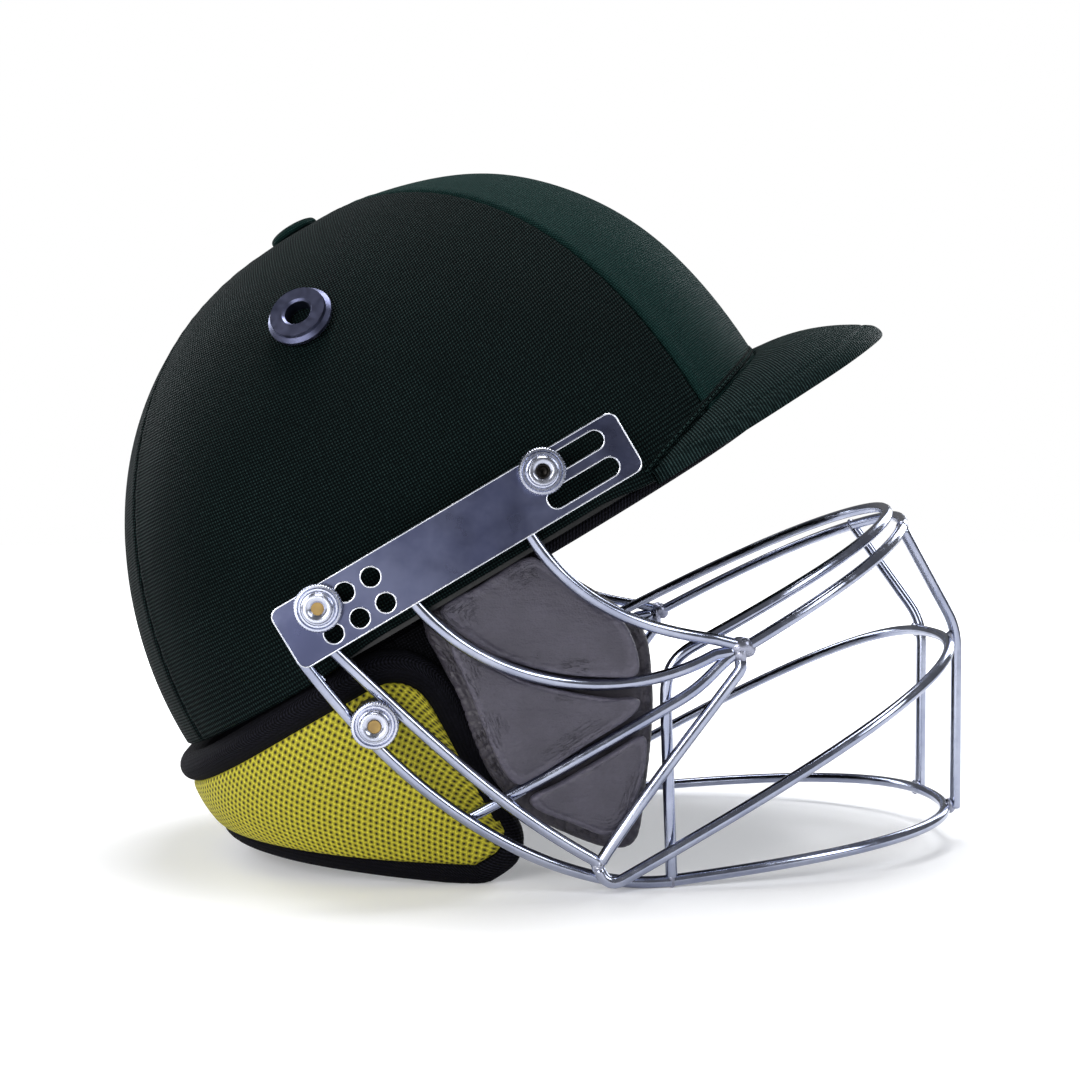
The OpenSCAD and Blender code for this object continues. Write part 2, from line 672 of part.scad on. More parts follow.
module front_bars() {
    color("#aab2c8")
        stand() {
            tube(bar_path(), wire_d);
            tube(mirrored(bar_path()), wire_d);
        }
}

// FASTENERS

// Thumb nut along its own axis: a grooved rim, a ring groove, and a raised boss round the bore
module nut_body(bore_r) {
    r = nut_d / 2;
    rim_h = nut_h * 0.62;
    difference() {
        union() {
            linear_extrude(height = rim_h)
                polygon([for (k = [0:nut_grooves - 1], e = [[0, -0.5], [0.5, 0]])
                    let (a = 360 * (k + e[0]) / nut_grooves) (r + e[1]) * [cos(a), sin(a)]]);
            cylinder(r1 = r * 0.62, r2 = r * 0.56, h = nut_h, $fn = 48);
        }
        translate([0, 0, rim_h - 1]) difference() {
            cylinder(r = r * 0.8, h = 3, $fn = 48);
            translate([0, 0, -1]) cylinder(r = r * 0.64, h = 5, $fn = 48);
        }
        translate([0, 0, -1]) cylinder(r = bore_r, h = nut_h + 2, $fn = 48);
        translate([0, 0, nut_h - 0.9]) cylinder(r1 = bore_r, r2 = bore_r + 1, h = 1, $fn = 48);
    }
}
module nut_at(p, y, s) {
    color("#a9b0c2")
        stand() side(s) translate([p[0], -y, p[1]]) rotate([90, 0, 0]) nut_body(screw_r + running);
}
nut_y = plate_out + 0.1;
clamp_y = wire_half(clamp[1] + 4, jaw_y) + wire_r + weld_gap;
module front_nut_right() { nut_at(front_nut, nut_y, 1); }
module front_nut_left() { nut_at(front_nut, nut_y, -1); }
module rear_nut_right() { nut_at(rear_nut, nut_y, 1); }
module rear_nut_left() { nut_at(rear_nut, nut_y, -1); }
module clamp_nut_right() { nut_at(clamp, clamp_y, 1); }
module clamp_nut_left() { nut_at(clamp, clamp_y, -1); }

module screw_at(p, y0, y1, s) {
    side(s) translate([p[0], -y0, p[1]]) rotate([90, 0, 0]) {
        cylinder(r = head_r, h = head_t, $fn = 48);
        translate([0, 0, head_t / 2]) cylinder(r = screw_r, h = y1 - y0 - head_t / 2, $fn = 48);
    }
}
// Four screws through the shell's sides, their flat heads inside the shell
front_screw_out = nut_y + nut_h * 0.45;
rear_screw_out = nut_y + nut_h - 1;
module side_screws() {
    color("#8a7a4a")
        stand()
            for (s = [1, -1], p = [[front_nut, front_screw_out], [rear_nut, rear_screw_out]]) {
                screw_at(p[0], least_y(p[0], head_r, shell_off - shell_t) - sag - head_t, p[1], s);
            }
}
// Rubber spacers between the cloth and the plates
module side_spacers() {
    color("#17181a")
        stand()
            for (s = [1, -1], p = [front_nut, rear_nut]) {
                low = most_y(p, spacer_r, 0) + gap;
                side(s) translate([p[0], -low, p[1]]) rotate([90, 0, 0]) difference() {
                    cylinder(r = spacer_r, h = plate_in - 0.05 - low, $fn = 48);
                    translate([0, 0, -1]) cylinder(r = screw_r + 0.2, h = 30, $fn = 48);
                }
            }
}
// Screws and washers that clamp the neck guard to the wires
guard_crown = 1.4;
clamp_face = guard_half_at(clamp[1])
    * pow(1 - pow((guard_front - clamp[0]) / guard_reach, guard_power), 1 / guard_power);
module clamp_screws() {
    color("#a86a3c")
        stand()
            for (s = [1, -1]) {
                screw_at(clamp, clamp_face - guard_pad - 3.4, clamp_y + nut_h - 0.8, s);
            }
}
module clamp_washers() {
    low = clamp_face + guard_crown + gap;
    color("#2a2c30")
        stand()
            for (s = [1, -1]) {
                side(s) translate([clamp[0], -low, clamp[1]]) rotate([90, 0, 0]) difference() {
                    cylinder(r = clamp_r, h = wire_half(clamp[1] - clamp_r, loop_y) - wire_r - weld_gap - low, $fn = 48);
                    translate([0, 0, -1]) cylinder(r = screw_r + 0.2, h = 30, $fn = 48);
                }
            }
}

// CHEEK PADS

// Depths of the panels' crowns, which lie a little inside the wires, and of the base behind them
function panel_face(z) = 99 + 0.11 * z;
function panel_back(z) = panel_face(z) - cheek_crown;
function base_face(z) = panel_back(z) - gap;
function base_back(z) = base_face(z) - cheek_base_t;

base_outline = [[-47, 3.6], [-14, 3.8], [-7, -4], [5, -26], [8.6, -39], [3, -54], [-5, -68], [-18, -86],
    [-29, -98], [-36, -96], [-46, -84], [-55, -69], [-57.6, -54], [-56.8, -40], [-54, -26], [-52, -12], [-51.4, -1]];
upper_outline = [[-45, 3], [-30, 3.8], [-13, 3.8], [-8, -2], [0, -20], [4.4, -31], [3.4, -42], [-0.5, -48.4],
    [-8, -45], [-22, -35], [-34, -23], [-41, -12]];
middle_outline = [[-48, -8.6], [-43.6, -14], [-35, -28], [-23.6, -40.6], [-11.6, -51], [-4, -56], [-9, -59.6],
    [-26, -60], [-46, -60.4], [-53, -58.6], [-54, -48], [-50.6, -26]];
lower_top = -66;
lower_outline = [for (p = [[-51, -0.013], [-40, 0.013], [-22, 0.026], [-9, 0.045], [-12, 0.29], [-20, 0.568],
    [-30, 0.806], [-36.4, 0.774], [-44, 0.452], [-51, 0.148]]) [p[0], mix(lower_top, jaw_z, p[1])]];

module cheek_base(s) {
    color("#29292e") stand() side(s) cushion(through(base_outline, 2), function(z) base_back(z), function(z) base_face(z));
}
module cheek_panel(outline, s) {
    color("#57525e") stand() side(s) cushion(through(outline, 3), function(z) panel_back(z), function(z) panel_face(z));
}
module cheek_base_right() { cheek_base(1); }
module cheek_base_left() { cheek_base(-1); }
module cheek_upper_right() { cheek_panel(upper_outline, 1); }
module cheek_upper_left() { cheek_panel(upper_outline, -1); }
module cheek_middle_right() { cheek_panel(middle_outline, 1); }
module cheek_middle_left() { cheek_panel(middle_outline, -1); }
module cheek_lower_right() { cheek_panel(lower_outline, 1); }
module cheek_lower_left() { cheek_panel(lower_outline, -1); }

// NECK GUARD

guard_pad = mesh_t + gap + backing_t;

// The guard's wall is a U in plan that narrows downwards. A place on it is an angle t, from -90 at the
// right front edge over 0 at the back to 90 at the left front edge, a height z and an offset outwards.
function guard_half_at(z) = guard_half - guard_taper * (rim_z - z) / 85;
function guard_x(t, off) = guard_front - (guard_reach + off) * cos(t);
function guard_point(t, z, off) = [guard_x(t, off),
    (guard_half_at(z) + off) * sign(t) * pow(max(1 - pow(cos(t), guard_power), 0), 1 / guard_power), z];
function guard_top(t) = mix(guard_top_side, guard_top_back, ease((guard_front - 30 - guard_x(t, 0)) / 60));

// The bound edge along the bottom falls forwards from the back, and is lowered to stand on the floor
function bottom_line(x) = max(-guard_slope * (x - guard_front + guard_reach), -guard_slope * (guard_reach - 16));
bottom_steps = [for (k = [0:13]) 80 - 6 * k];
bottom_shift = (-lift + binding_r * cos(22.5) - floor_cut - min([for (t = bottom_steps)
    height([guard_x(t, -binding_r), 0, bottom_line(guard_x(t, 0))])])) / cos(tilt);
function guard_low(t) = bottom_line(guard_x(t, 0)) + bottom_shift;

function binding_path() = let (
    c = guard_corner,
    low = guard_low(90),
    top = guard_top(90) - roll_r - binding_r - gap,
    edge = [for (k = [0:4]) [0, mix(top, low + c, k / 4)]],
    arc = [for (a = [22.5:22.5:90]) [c * (1 - cos(a)), low + c - c * sin(a)]],
    half = concat([for (p = concat(edge, arc)) let (t = acos(p[0] / guard_reach)) guard_point(-t, p[1], -binding_r)],
        [for (t = bottom_steps) guard_point(-t, guard_low(t), -binding_r)]))
    concat(half, [guard_point(0.001, guard_low(0), -binding_r)], ccw(mirrored(half)));
module neck_binding() {
    color("#131418")
        difference() {
            stand() tube(binding_path(), binding_d);
            translate([-400, -400, -100]) cube([800, 800, 100]);
        }
}

module neck_roll() {
    color("#1b1b22")
        stand()
            tube([for (k = [-16:16]) let (t = k == 0 ? 0.001 : 90 * k / 16) guard_point(t, guard_top(t), -roll_r / 2)],
                roll_d);
}

// A pad of the guard between two depths, set in from the roll and the bound edge, and fuller in its middle
guard_nu = 31;
guard_nv = 7;
function pad_angle(i) = let (last = acos(inset / guard_reach), t = -last + 2 * last * i / (guard_nu - 1))
    abs(t) < 0.01 ? 0.01 : t;
function pad_z(t, v) = let (
    near = max(0, 1 - (guard_front - inset - guard_x(t, 0)) / guard_corner),
    top = guard_top(t) - roll_r - gap - 0.2,
    low = guard_low(t) + inset * 1.22 + 5 * near * near)
    mix(top, low, v);
module guard_slab(out, in, crown) {
    outer = [for (i = [0:guard_nu - 1], j = [0:guard_nv - 1]) let (t = pad_angle(i), v = j / (guard_nv - 1))
        guard_point(t, pad_z(t, v), out + crown * pow(sin(180 * v) * sin(180 * i / (guard_nu - 1)), 0.6))];
    inner = [for (i = [0:guard_nu - 1], j = [0:guard_nv - 1]) let (t = pad_angle(i), v = j / (guard_nv - 1))
        guard_point(t, pad_z(t, v), in)];
    slab(outer, inner, guard_nu, guard_nv);
}
module clamp_bores() {
    for (s = [1, -1]) {
        side(s) translate([clamp[0], -clamp_face, clamp[1]]) rotate([90, 0, 0])
            cylinder(r = screw_r + 0.4, h = 60, center = true, $fn = 32);
    }
}
module neck_mesh() {
    color("#c9c21f")
        stand()
            difference() {
                guard_slab(0, -mesh_t, guard_crown);
                clamp_bores();
            }
}
module neck_backing() {
    color("#17181b")
        stand()
            difference() {
                guard_slab(-mesh_t - gap, -guard_pad, 0);
                clamp_bores();
            }
}

shell();
cover_front();
cover_back();
cover_right();
cover_left();
foam_liner();
brow_pad();
nape_pad();
temple_pad_right();
temple_pad_left();
crown_pad();
brow_band();
peak_board();
peak_top();
peak_under();
crown_button();
vent_right();
vent_left();
plate_right();
plate_left();
first_ring();
second_ring();
middle_ring();
chin_ring();
inner_loop_right();
inner_loop_left();
upper_rod_right();
upper_rod_left();
pad_rod_right();
pad_rod_left();
lower_rod_right();
lower_rod_left();
front_bars();
front_nut_right();
front_nut_left();
rear_nut_right();
rear_nut_left();
clamp_nut_right();
clamp_nut_left();
side_screws();
side_spacers();
clamp_screws();
clamp_washers();
cheek_base_right();
cheek_base_left();
cheek_upper_right();
cheek_upper_left();
cheek_middle_right();
cheek_middle_left();
cheek_lower_right();
cheek_lower_left();
neck_mesh();
neck_backing();
neck_binding();
neck_roll();
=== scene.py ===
"""Looks of a cloth-covered batting helmet with a wire face guard, cheek pads and a neck guard.

Shapes are worked out in millimetres in the head frame, where the shell's rim is level, and stand() leans
them back on to the floor.
"""
import bpy
import math
import numpy as np
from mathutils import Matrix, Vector


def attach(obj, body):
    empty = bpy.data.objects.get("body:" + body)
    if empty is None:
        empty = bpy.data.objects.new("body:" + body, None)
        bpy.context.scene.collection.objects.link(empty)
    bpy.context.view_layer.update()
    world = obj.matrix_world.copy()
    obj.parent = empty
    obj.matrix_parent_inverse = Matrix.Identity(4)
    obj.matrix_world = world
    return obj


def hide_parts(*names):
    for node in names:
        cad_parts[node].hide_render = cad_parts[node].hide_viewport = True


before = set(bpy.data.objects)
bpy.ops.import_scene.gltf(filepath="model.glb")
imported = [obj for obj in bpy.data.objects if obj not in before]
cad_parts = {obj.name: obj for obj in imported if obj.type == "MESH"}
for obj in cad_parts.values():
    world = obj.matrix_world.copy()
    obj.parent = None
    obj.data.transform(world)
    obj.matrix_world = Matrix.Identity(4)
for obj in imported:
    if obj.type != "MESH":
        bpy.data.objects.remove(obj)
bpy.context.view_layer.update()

# STANCE
LEAN = math.radians(30.6)
MIDDLE_X = -2.5708
LIFT = 114.605

# SHELL
SHELL_X, RIM_Z = -17.0, 4.5
SHELL_FRONT, SHELL_BACK, SHELL_HALF, SHELL_HIGH = 120.0, 133.4, 101.8, 141.2
SEAMS_X = -20.0
FOAM_OFF, FOAM_T = -5.2, 10.0
COMFORT_OFF, COMFORT_T = -16.6, 8.0

# PLATES AND WIRES
PLATE_REAR, PLATE_LOW, PLATE_L, PLATE_H, PLATE_T = -91.0, 9.8, 125.0, 20.8, 1.5
PLATE_OUT = 108.0
HOLE_D, PITCH, SLOT_W, SLOT_L = 6.6, 9.4, 6.6, 26.0
HOLES = [(PLATE_REAR + 14.2 + k * PITCH, PLATE_LOW + 5 + j * PITCH) for k in range(3) for j in range(2)]
SLOT_X = PLATE_REAR + PLATE_L - 19.4
SLOTS = [(SLOT_X, PLATE_LOW + 5.7), (SLOT_X, PLATE_LOW + 15.5)]
WIRE_R = 2.0
WELD = 0.2
TOUCH = 2 * WIRE_R + WELD
WIRE_Y = PLATE_OUT - PLATE_T - WIRE_R - WELD
WIRE_TOP = PLATE_LOW + 4
CHEEK_X, CHEEK_Y = 32.5, 88.4
JAW = (-44.0, 90.0, -97.0)
JAW_BEND = 4.6
LOOP_Y = JAW[1] - 2 * WIRE_R - WELD
DROP_Y = CHEEK_Y - 2 * WIRE_R - 0.5

# NECK GUARD
GUARD_FRONT, GUARD_REACH, GUARD_HALF, GUARD_TAPER, GUARD_POWER = -63.5, 93.0, 93.6, 18.0, 2.3
GUARD_SLOPE, GUARD_CORNER, GUARD_SHIFT = 0.68, 9.0, -29.7052
MESH_T, BACKING_T, ROLL_D, BINDING_D, GAP = 4.4, 4.0, 12.0, 9.6, 0.3


def stand(p):
    """Lean head-frame points in millimetres back by the tilt, lift them to the floor and give metres."""
    p = np.asarray(p, float)
    x = p[..., 0] * math.cos(LEAN) - p[..., 2] * math.sin(LEAN) + MIDDLE_X
    z = p[..., 0] * math.sin(LEAN) + p[..., 2] * math.cos(LEAN) + LIFT
    return np.stack([x, p[..., 1], z], -1) / 1000


# CAMERA
def set_camera():
    turn, rise, away = math.radians(-4.82), math.radians(1.44), 0.6
    aim = Vector((MIDDLE_X / 1000, 0, LIFT / 1000))
    flat = math.cos(rise)
    place = aim + away * Vector((math.sin(turn) * flat, -math.cos(turn) * flat, math.sin(rise)))
    data = bpy.data.cameras.new("camera")
    data.lens = 52
    data.sensor_width = 36
    obj = bpy.data.objects.new("camera", data)
    obj.location = place
    obj.rotation_euler = (aim - place).to_track_quat("-Z", "Y").to_euler()
    bpy.context.scene.collection.objects.link(obj)
    bpy.context.scene.camera = obj


set_camera()


# MATERIALS
class Finish:
    """A material, with short ways to add its nodes and join them."""

    def __init__(self, name, colour, rough, metal=0.0, **sockets):
        self.material = bpy.data.materials.new(name)
        self.material.use_nodes = True
        self.tree = self.material.node_tree
        self.shader = next(n for n in self.tree.nodes if n.type == "BSDF_PRINCIPLED")
        self.set("Base Color", colour)
        self.set("Roughness", rough)
        self.set("Metallic", metal)
        for key, value in sockets.items():
            self.set(key.replace("_", " "), value)

    def feed(self, socket, value):
        if isinstance(value, bpy.types.NodeSocket):
            self.tree.links.new(value, socket)
        elif isinstance(value, tuple) and socket.type == "RGBA":
            socket.default_value = value + (1.0,)
        else:
            socket.default_value = value

    def set(self, name, value):
        self.feed(self.shader.inputs[name], value)

    def add(self, kind, **settings):
        node = self.tree.nodes.new(kind)
        for key, value in settings.items():
            setattr(node, key, value)
        return node

    def sums(self, kind, a, b=0.0, c=0.0):
        node = self.add("ShaderNodeMath", operation=kind)
        for socket, value in zip(node.inputs, (a, b, c)):
            self.feed(socket, value)
        return node.outputs[0]

    def chart(self):
        """The piece's own map, in millimetres, as two sockets."""
        node = self.add("ShaderNodeSeparateXYZ")
        self.tree.links.new(self.add("ShaderNodeTexCoord").outputs["UV"], node.inputs[0])
        return node.outputs[0], node.outputs[1]

    def space(self, stretch=(1.0, 1.0, 1.0)):
        """Object coordinates, stretched."""
        node = self.add("ShaderNodeMapping")
        self.tree.links.new(self.add("ShaderNodeTexCoord").outputs["Object"], node.inputs[0])
        node.inputs["Scale"].default_value = stretch
        return node.outputs[0]

    def noise(self, scale, where=None, detail=3.0, rough=0.55):
        node = self.add("ShaderNodeTexNoise")
        self.tree.links.new(where or self.space(), node.inputs["Vector"])
        for key, value in (("Scale", scale), ("Detail", detail), ("Roughness", rough)):
            node.inputs[key].default_value = value
        return node.outputs[0]

    def span(self, value, a, b, c=0.0, d=1.0):
        node = self.add("ShaderNodeMapRange", interpolation_type="SMOOTHSTEP")
        for key, v in (("Value", value), ("From Min", a), ("From Max", b), ("To Min", c), ("To Max", d)):
            self.feed(node.inputs[key], v)
        return node.outputs[0]

    def mix(self, share, low, high):
        node = self.add("ShaderNodeMix", data_type="RGBA")
        for socket, value in ((node.inputs[0], share), (node.inputs[6], low), (node.inputs[7], high)):
            self.feed(socket, value)
        return node.outputs[2]

    def bump(self, height, depth, under=None, strength=1.0):
        node = self.add("ShaderNodeBump")
        node.inputs["Strength"].default_value = strength
        node.inputs["Distance"].default_value = depth
        self.tree.links.new(height, node.inputs["Height"])
        if under is not None:
            self.tree.links.new(under, node.inputs["Normal"])
        self.set("Normal", node.outputs[0])
        return node.outputs[0]


def stitch_lattice(f, pitch, rise):
    """Rows of small knitted loops: the product of two slanted sine waves over the piece's own map."""
    u, v = f.chart()
    down = f.sums("MULTIPLY", v, pitch / rise)
    a = f.sums("SINE", f.sums("MULTIPLY", f.sums("ADD", u, down), math.pi / pitch))
    b = f.sums("SINE", f.sums("MULTIPLY", f.sums("SUBTRACT", u, down), math.pi / pitch))
    return f.sums("MULTIPLY", a, b)


def knitted_cloth(name, dark, light, pitch, rise, depth, edge=0.15):
    f = Finish(name, dark, 0.75, Specular_IOR_Level=0.04)
    loops = stitch_lattice(f, pitch, rise)
    fuzz = f.noise(1600.0, detail=2.0)
    # Painted light: the loops' tops take the light colour as a painted highlight, and the gaps between them
    # take the dark colour as painted shade.
    loop_highlight = f.sums("MULTIPLY", f.span(loops, -edge, 0.85), f.span(fuzz, 0.25, 0.7, 0.25, 1.0))
    patch = f.span(f.noise(26.0, detail=2.0), 0.35, 0.65, 0.78, 1.0)
    f.set("Base Color", f.mix(f.sums("MULTIPLY", loop_highlight, patch), dark, light))
    f.set("Roughness", f.span(loops, -1.0, 1.0, 0.85, 0.55))
    f.bump(loops, depth)
    return f


def ribbed_cloth(name, dark, light, pitch, cross, depth):
    """Straight ribs along the second map axis, each with small loops along it."""
    f = Finish(name, dark, 0.75, Specular_IOR_Level=0.05)
    u, v = f.chart()
    rib = f.sums("SINE", f.sums("MULTIPLY", u, 2 * math.pi / pitch))
    loop = f.sums("SINE", f.sums("MULTIPLY", v, 2 * math.pi / cross))
    height = f.sums("MULTIPLY_ADD", loop, 0.35, rib)
    fuzz = f.span(f.noise(1500.0, detail=2.0), 0.25, 0.7, 0.3, 1.0)
    # Painted light: the ribs' tops take the light colour as a painted highlight, and the grooves take the
    # dark colour as painted shade.
    f.set("Base Color", f.mix(f.sums("MULTIPLY", f.span(height, -0.3, 1.1), fuzz), dark, light))
    f.set("Roughness", f.span(height, -1.0, 1.0, 0.85, 0.55))
    f.bump(height, depth)
    return f


def plain_plastic(name, colour, rough, speck=0.15):
    f = Finish(name, colour, rough)
    cloud = f.noise(60.0)
    f.set("Base Color", f.mix(f.span(cloud, 0.3, 0.7), tuple(c * (1 - speck) for c in colour), colour))
    f.bump(f.noise(900.0, detail=2.0), 0.00008)
    return f


def metal(name, colour, deep, rough, rough_to, grain, depth):
    """Steel or brass with a cloudy tone, and a fine grain in its roughness and height."""
    f = Finish(name, colour, rough, metal=1.0)
    tone = f.noise(40.0, detail=4.0, rough=0.6)
    f.set("Base Color", f.mix(f.span(tone, 0.3, 0.7), deep, colour))
    line = f.noise(grain)
    f.set("Roughness", f.span(line, 0.25, 0.75, rough, rough_to))
    f.bump(line, depth)
    return f


def vinyl(name, colour, worn_and_highlight, depth):
    """Leather-like vinyl: a fine pebble, small stretched creases, and edges made paler by the map's second
    axis as a painted highlight.
    """
    f = Finish(name, colour, 0.46, Specular_IOR_Level=0.45)
    around, out = f.chart()
    tone = f.span(f.noise(55.0, detail=4.0), 0.3, 0.7, 0.0, 0.35)
    # Painted highlight: a pale band round each pad's rounded edge.
    rim = f.span(out, 0.80, 0.97, 0.0, 0.65)
    fleck = f.span(f.noise(700.0, detail=2.0), 0.4, 0.75, 0.6, 1.0)
    f.set("Base Color", f.mix(f.sums("MULTIPLY", f.sums("ADD", tone, rim), fleck), colour, worn_and_highlight))
    pebble = f.noise(1500.0, detail=2.0)
    joint = f.add("ShaderNodeCombineXYZ")
    f.feed(joint.inputs[0], f.sums("MULTIPLY", around, 0.055))
    f.feed(joint.inputs[1], f.sums("MULTIPLY", out, 9.0))
    line = f.noise(1.6, joint.outputs[0], detail=5.0, rough=0.62)
    valley = f.span(f.sums("ABSOLUTE", f.sums("SUBTRACT", line, 0.5)), 0.0, 0.022)
    outer = f.sums("MULTIPLY", f.span(out, 0.5, 0.85), f.span(f.noise(60.0, detail=2.0), 0.46, 0.6))
    crease = f.sums("MULTIPLY_ADD", f.sums("SUBTRACT", valley, 1.0), outer, 1.0)
    wave = f.noise(130.0, f.space((0.6, 1.0, 1.6)), detail=4.0)
    f.set("Roughness", f.span(pebble, 0.2, 0.8, 0.38, 0.58))
    first = f.bump(wave, 0.0022, strength=0.6)
    second = f.bump(crease, 0.0007, first, strength=0.8)
    f.bump(pebble, depth, second)
    return f


def hole_mesh(name, dark, low, high, pitch, hole):
    """Spacer mesh: dark holes at the points of a staggered lattice, in yellow ribs between them. The holes'
    dark olive is painted shade, and the ribs are painted lighter round the holes as a highlight and darker
    between them as shade.
    """
    f = Finish(name, high, 0.7, Specular_IOR_Level=0.3, Sheen_Weight=0.05, Sheen_Roughness=0.5,
               Sheen_Tint=(1.0, 0.95, 0.4))
    u, v = f.chart()
    tall = pitch * 1.25

    def away(du, dv):
        a = f.sums("PINGPONG", f.sums("ADD", u, du), pitch / 2)
        b = f.sums("PINGPONG", f.sums("ADD", v, dv), tall / 2)
        return f.sums("SQRT", f.sums("ADD", f.sums("MULTIPLY", a, a), f.sums("MULTIPLY", b, b)))

    near = f.sums("MINIMUM", away(500.0 * pitch, 500.0 * tall), away(500.5 * pitch, 500.5 * tall))
    # Painted shade: the holes go dark olive, standing in for openings onto the black lining.
    wall = f.span(near, hole * 0.72, hole * 1.25)
    ridge_highlight = f.span(near, hole, pitch * 0.56)
    yarn = f.span(f.noise(1900.0, detail=2.0), 0.3, 0.7)
    # Painted light: low and high are one yellow, shaded and lit. The rings round the holes take the lit copy
    # as a painted highlight, and the lines between them take the shaded copy as painted shade.
    body = f.mix(f.sums("MULTIPLY", ridge_highlight, f.sums("MULTIPLY_ADD", yarn, 0.5, 0.5)), low, high)
    f.set("Base Color", f.mix(wall, dark, body))
    f.bump(f.sums("MULTIPLY_ADD", yarn, 0.12, wall), 0.0009)
    return f


def knit(name, dark, light, pitch, depth):
    """Ribbed knit: rounded ribs across the tube, with loops along each rib."""
    f = Finish(name, dark, 0.8, Specular_IOR_Level=0.07)
    u, v = f.chart()
    slant = f.sums("MULTIPLY_ADD", v, 0.55, u)
    rib = f.sums("ABSOLUTE", f.sums("SINE", f.sums("MULTIPLY", slant, math.pi / pitch)))
    loop = f.sums("SINE", f.sums("MULTIPLY", v, 2 * math.pi / 1.3))
    height = f.sums("MULTIPLY_ADD", loop, 0.2, rib)
    fuzz = f.span(f.noise(1400.0, detail=2.0), 0.3, 0.7, 0.4, 1.0)
    # Painted light: the ribs' tops take the light colour as a painted highlight, and the hollows between them
    # take the dark colour as painted shade.
    f.set("Base Color", f.mix(f.sums("MULTIPLY", f.span(height, 0.3, 1.15), fuzz), dark, light))
    f.bump(height, depth)
    return f


# In each cloth and knit pair, the dark colour is painted shade between the loops or ribs, and the light
# colour is a painted highlight on their tops.
side_cloth = knitted_cloth("side_cloth", (0.0006, 0.0020, 0.0023), (0.014, 0.031, 0.030), 1.0, 1.05, 0.00028)
front_cloth = knitted_cloth(
    "front_cloth", (0.0022, 0.0105, 0.0100), (0.015, 0.046, 0.042), 0.8, 0.85, 0.00015, 0.5)
peak_cloth = ribbed_cloth("peak_cloth", (0.0014, 0.0046, 0.0050), (0.024, 0.048, 0.047), 1.05, 1.0, 0.00025)
thread = knit("thread", (0.004, 0.012, 0.012), (0.035, 0.07, 0.065), 0.5, 0.0001)
liner_foam = plain_plastic("liner_foam", (0.008, 0.0085, 0.0095), 0.85)
comfort_cloth = knitted_cloth(
    "comfort_cloth", (0.0015, 0.0015, 0.002), (0.010, 0.010, 0.012), 1.1, 1.2, 0.0002)
shell_plastic = plain_plastic("shell_plastic", (0.004, 0.0045, 0.005), 0.5)
vent_metal = metal("vent_metal", (0.14, 0.15, 0.245), (0.075, 0.083, 0.145), 0.3, 0.42, 400.0, 0.00002)
plate_steel = metal("plate_steel", (0.125, 0.137, 0.220), (0.066, 0.074, 0.135), 0.26, 0.38, 90.0, 0.000004)
# Near-white steel for the plates' edge bars: a painted highlight along the edges, on round bars that stand in
# for the rounded edges.
edge_highlight_steel = metal("edge_highlight_steel", (0.92, 0.94, 1.0), (0.7, 0.73, 0.82), 0.15, 0.3, 500.0, 0.00001)
wire_steel = metal("wire_steel", (0.48, 0.51, 0.63), (0.32, 0.35, 0.47), 0.10, 0.24, 220.0, 0.00001)
weld_steel = metal("weld_steel", (0.50, 0.52, 0.62), (0.24, 0.25, 0.33), 0.22, 0.42, 300.0, 0.00025)
nut_steel = metal("nut_steel", (0.66, 0.68, 0.79), (0.44, 0.47, 0.58), 0.2, 0.3, 500.0, 0.000003)
screw_brass = metal("screw_brass", (0.50, 0.34, 0.12), (0.16, 0.11, 0.06), 0.3, 0.45, 500.0, 0.00003)
# Near-black steel for the screw ends deep in the front nuts' bores: painted shade.
bore_shade_steel = metal("bore_shade_steel", (0.06, 0.055, 0.05), (0.02, 0.02, 0.02), 0.35, 0.5, 500.0, 0.00003)
rubber = plain_plastic("rubber", (0.004, 0.004, 0.005), 0.7)
# The second colour of each vinyl is both its worn tone and the painted highlight on its edges.
panel_vinyl = vinyl("panel_vinyl", (0.044, 0.041, 0.058), (0.104, 0.097, 0.132), 0.0002)
base_vinyl = vinyl("base_vinyl", (0.034, 0.030, 0.041), (0.055, 0.050, 0.065), 0.00018)
# Yellow mesh colours: the holes' painted shade, then the shaded and the lit copy of the yellow.
yellow_mesh = hole_mesh(
    "yellow_mesh", (0.012, 0.011, 0.003), (0.17, 0.15, 0.006), (0.74, 0.67, 0.045), 2.7, 0.38)
backing_cloth = knitted_cloth(
    "backing_cloth", (0.0012, 0.0012, 0.0017), (0.009, 0.009, 0.012), 1.0, 1.1, 0.0002)
black_knit = knit("black_knit", (0.0010, 0.0010, 0.0018), (0.012, 0.012, 0.019), 1.25, 0.0004)


# MESHES
def outward(verts, faces, about):
    total = 0.0
    for f in faces:
        q = verts[f]
        normal = np.cross(q[:, 2] - q[:, 0], q[:, -1] - q[:, 1])
        if f.shape[1] == 3:
            normal = np.cross(q[:, 1] - q[:, 0], q[:, 2] - q[:, 0])
        total += np.sum((q.mean(1) - about) * normal)
    return total > 0


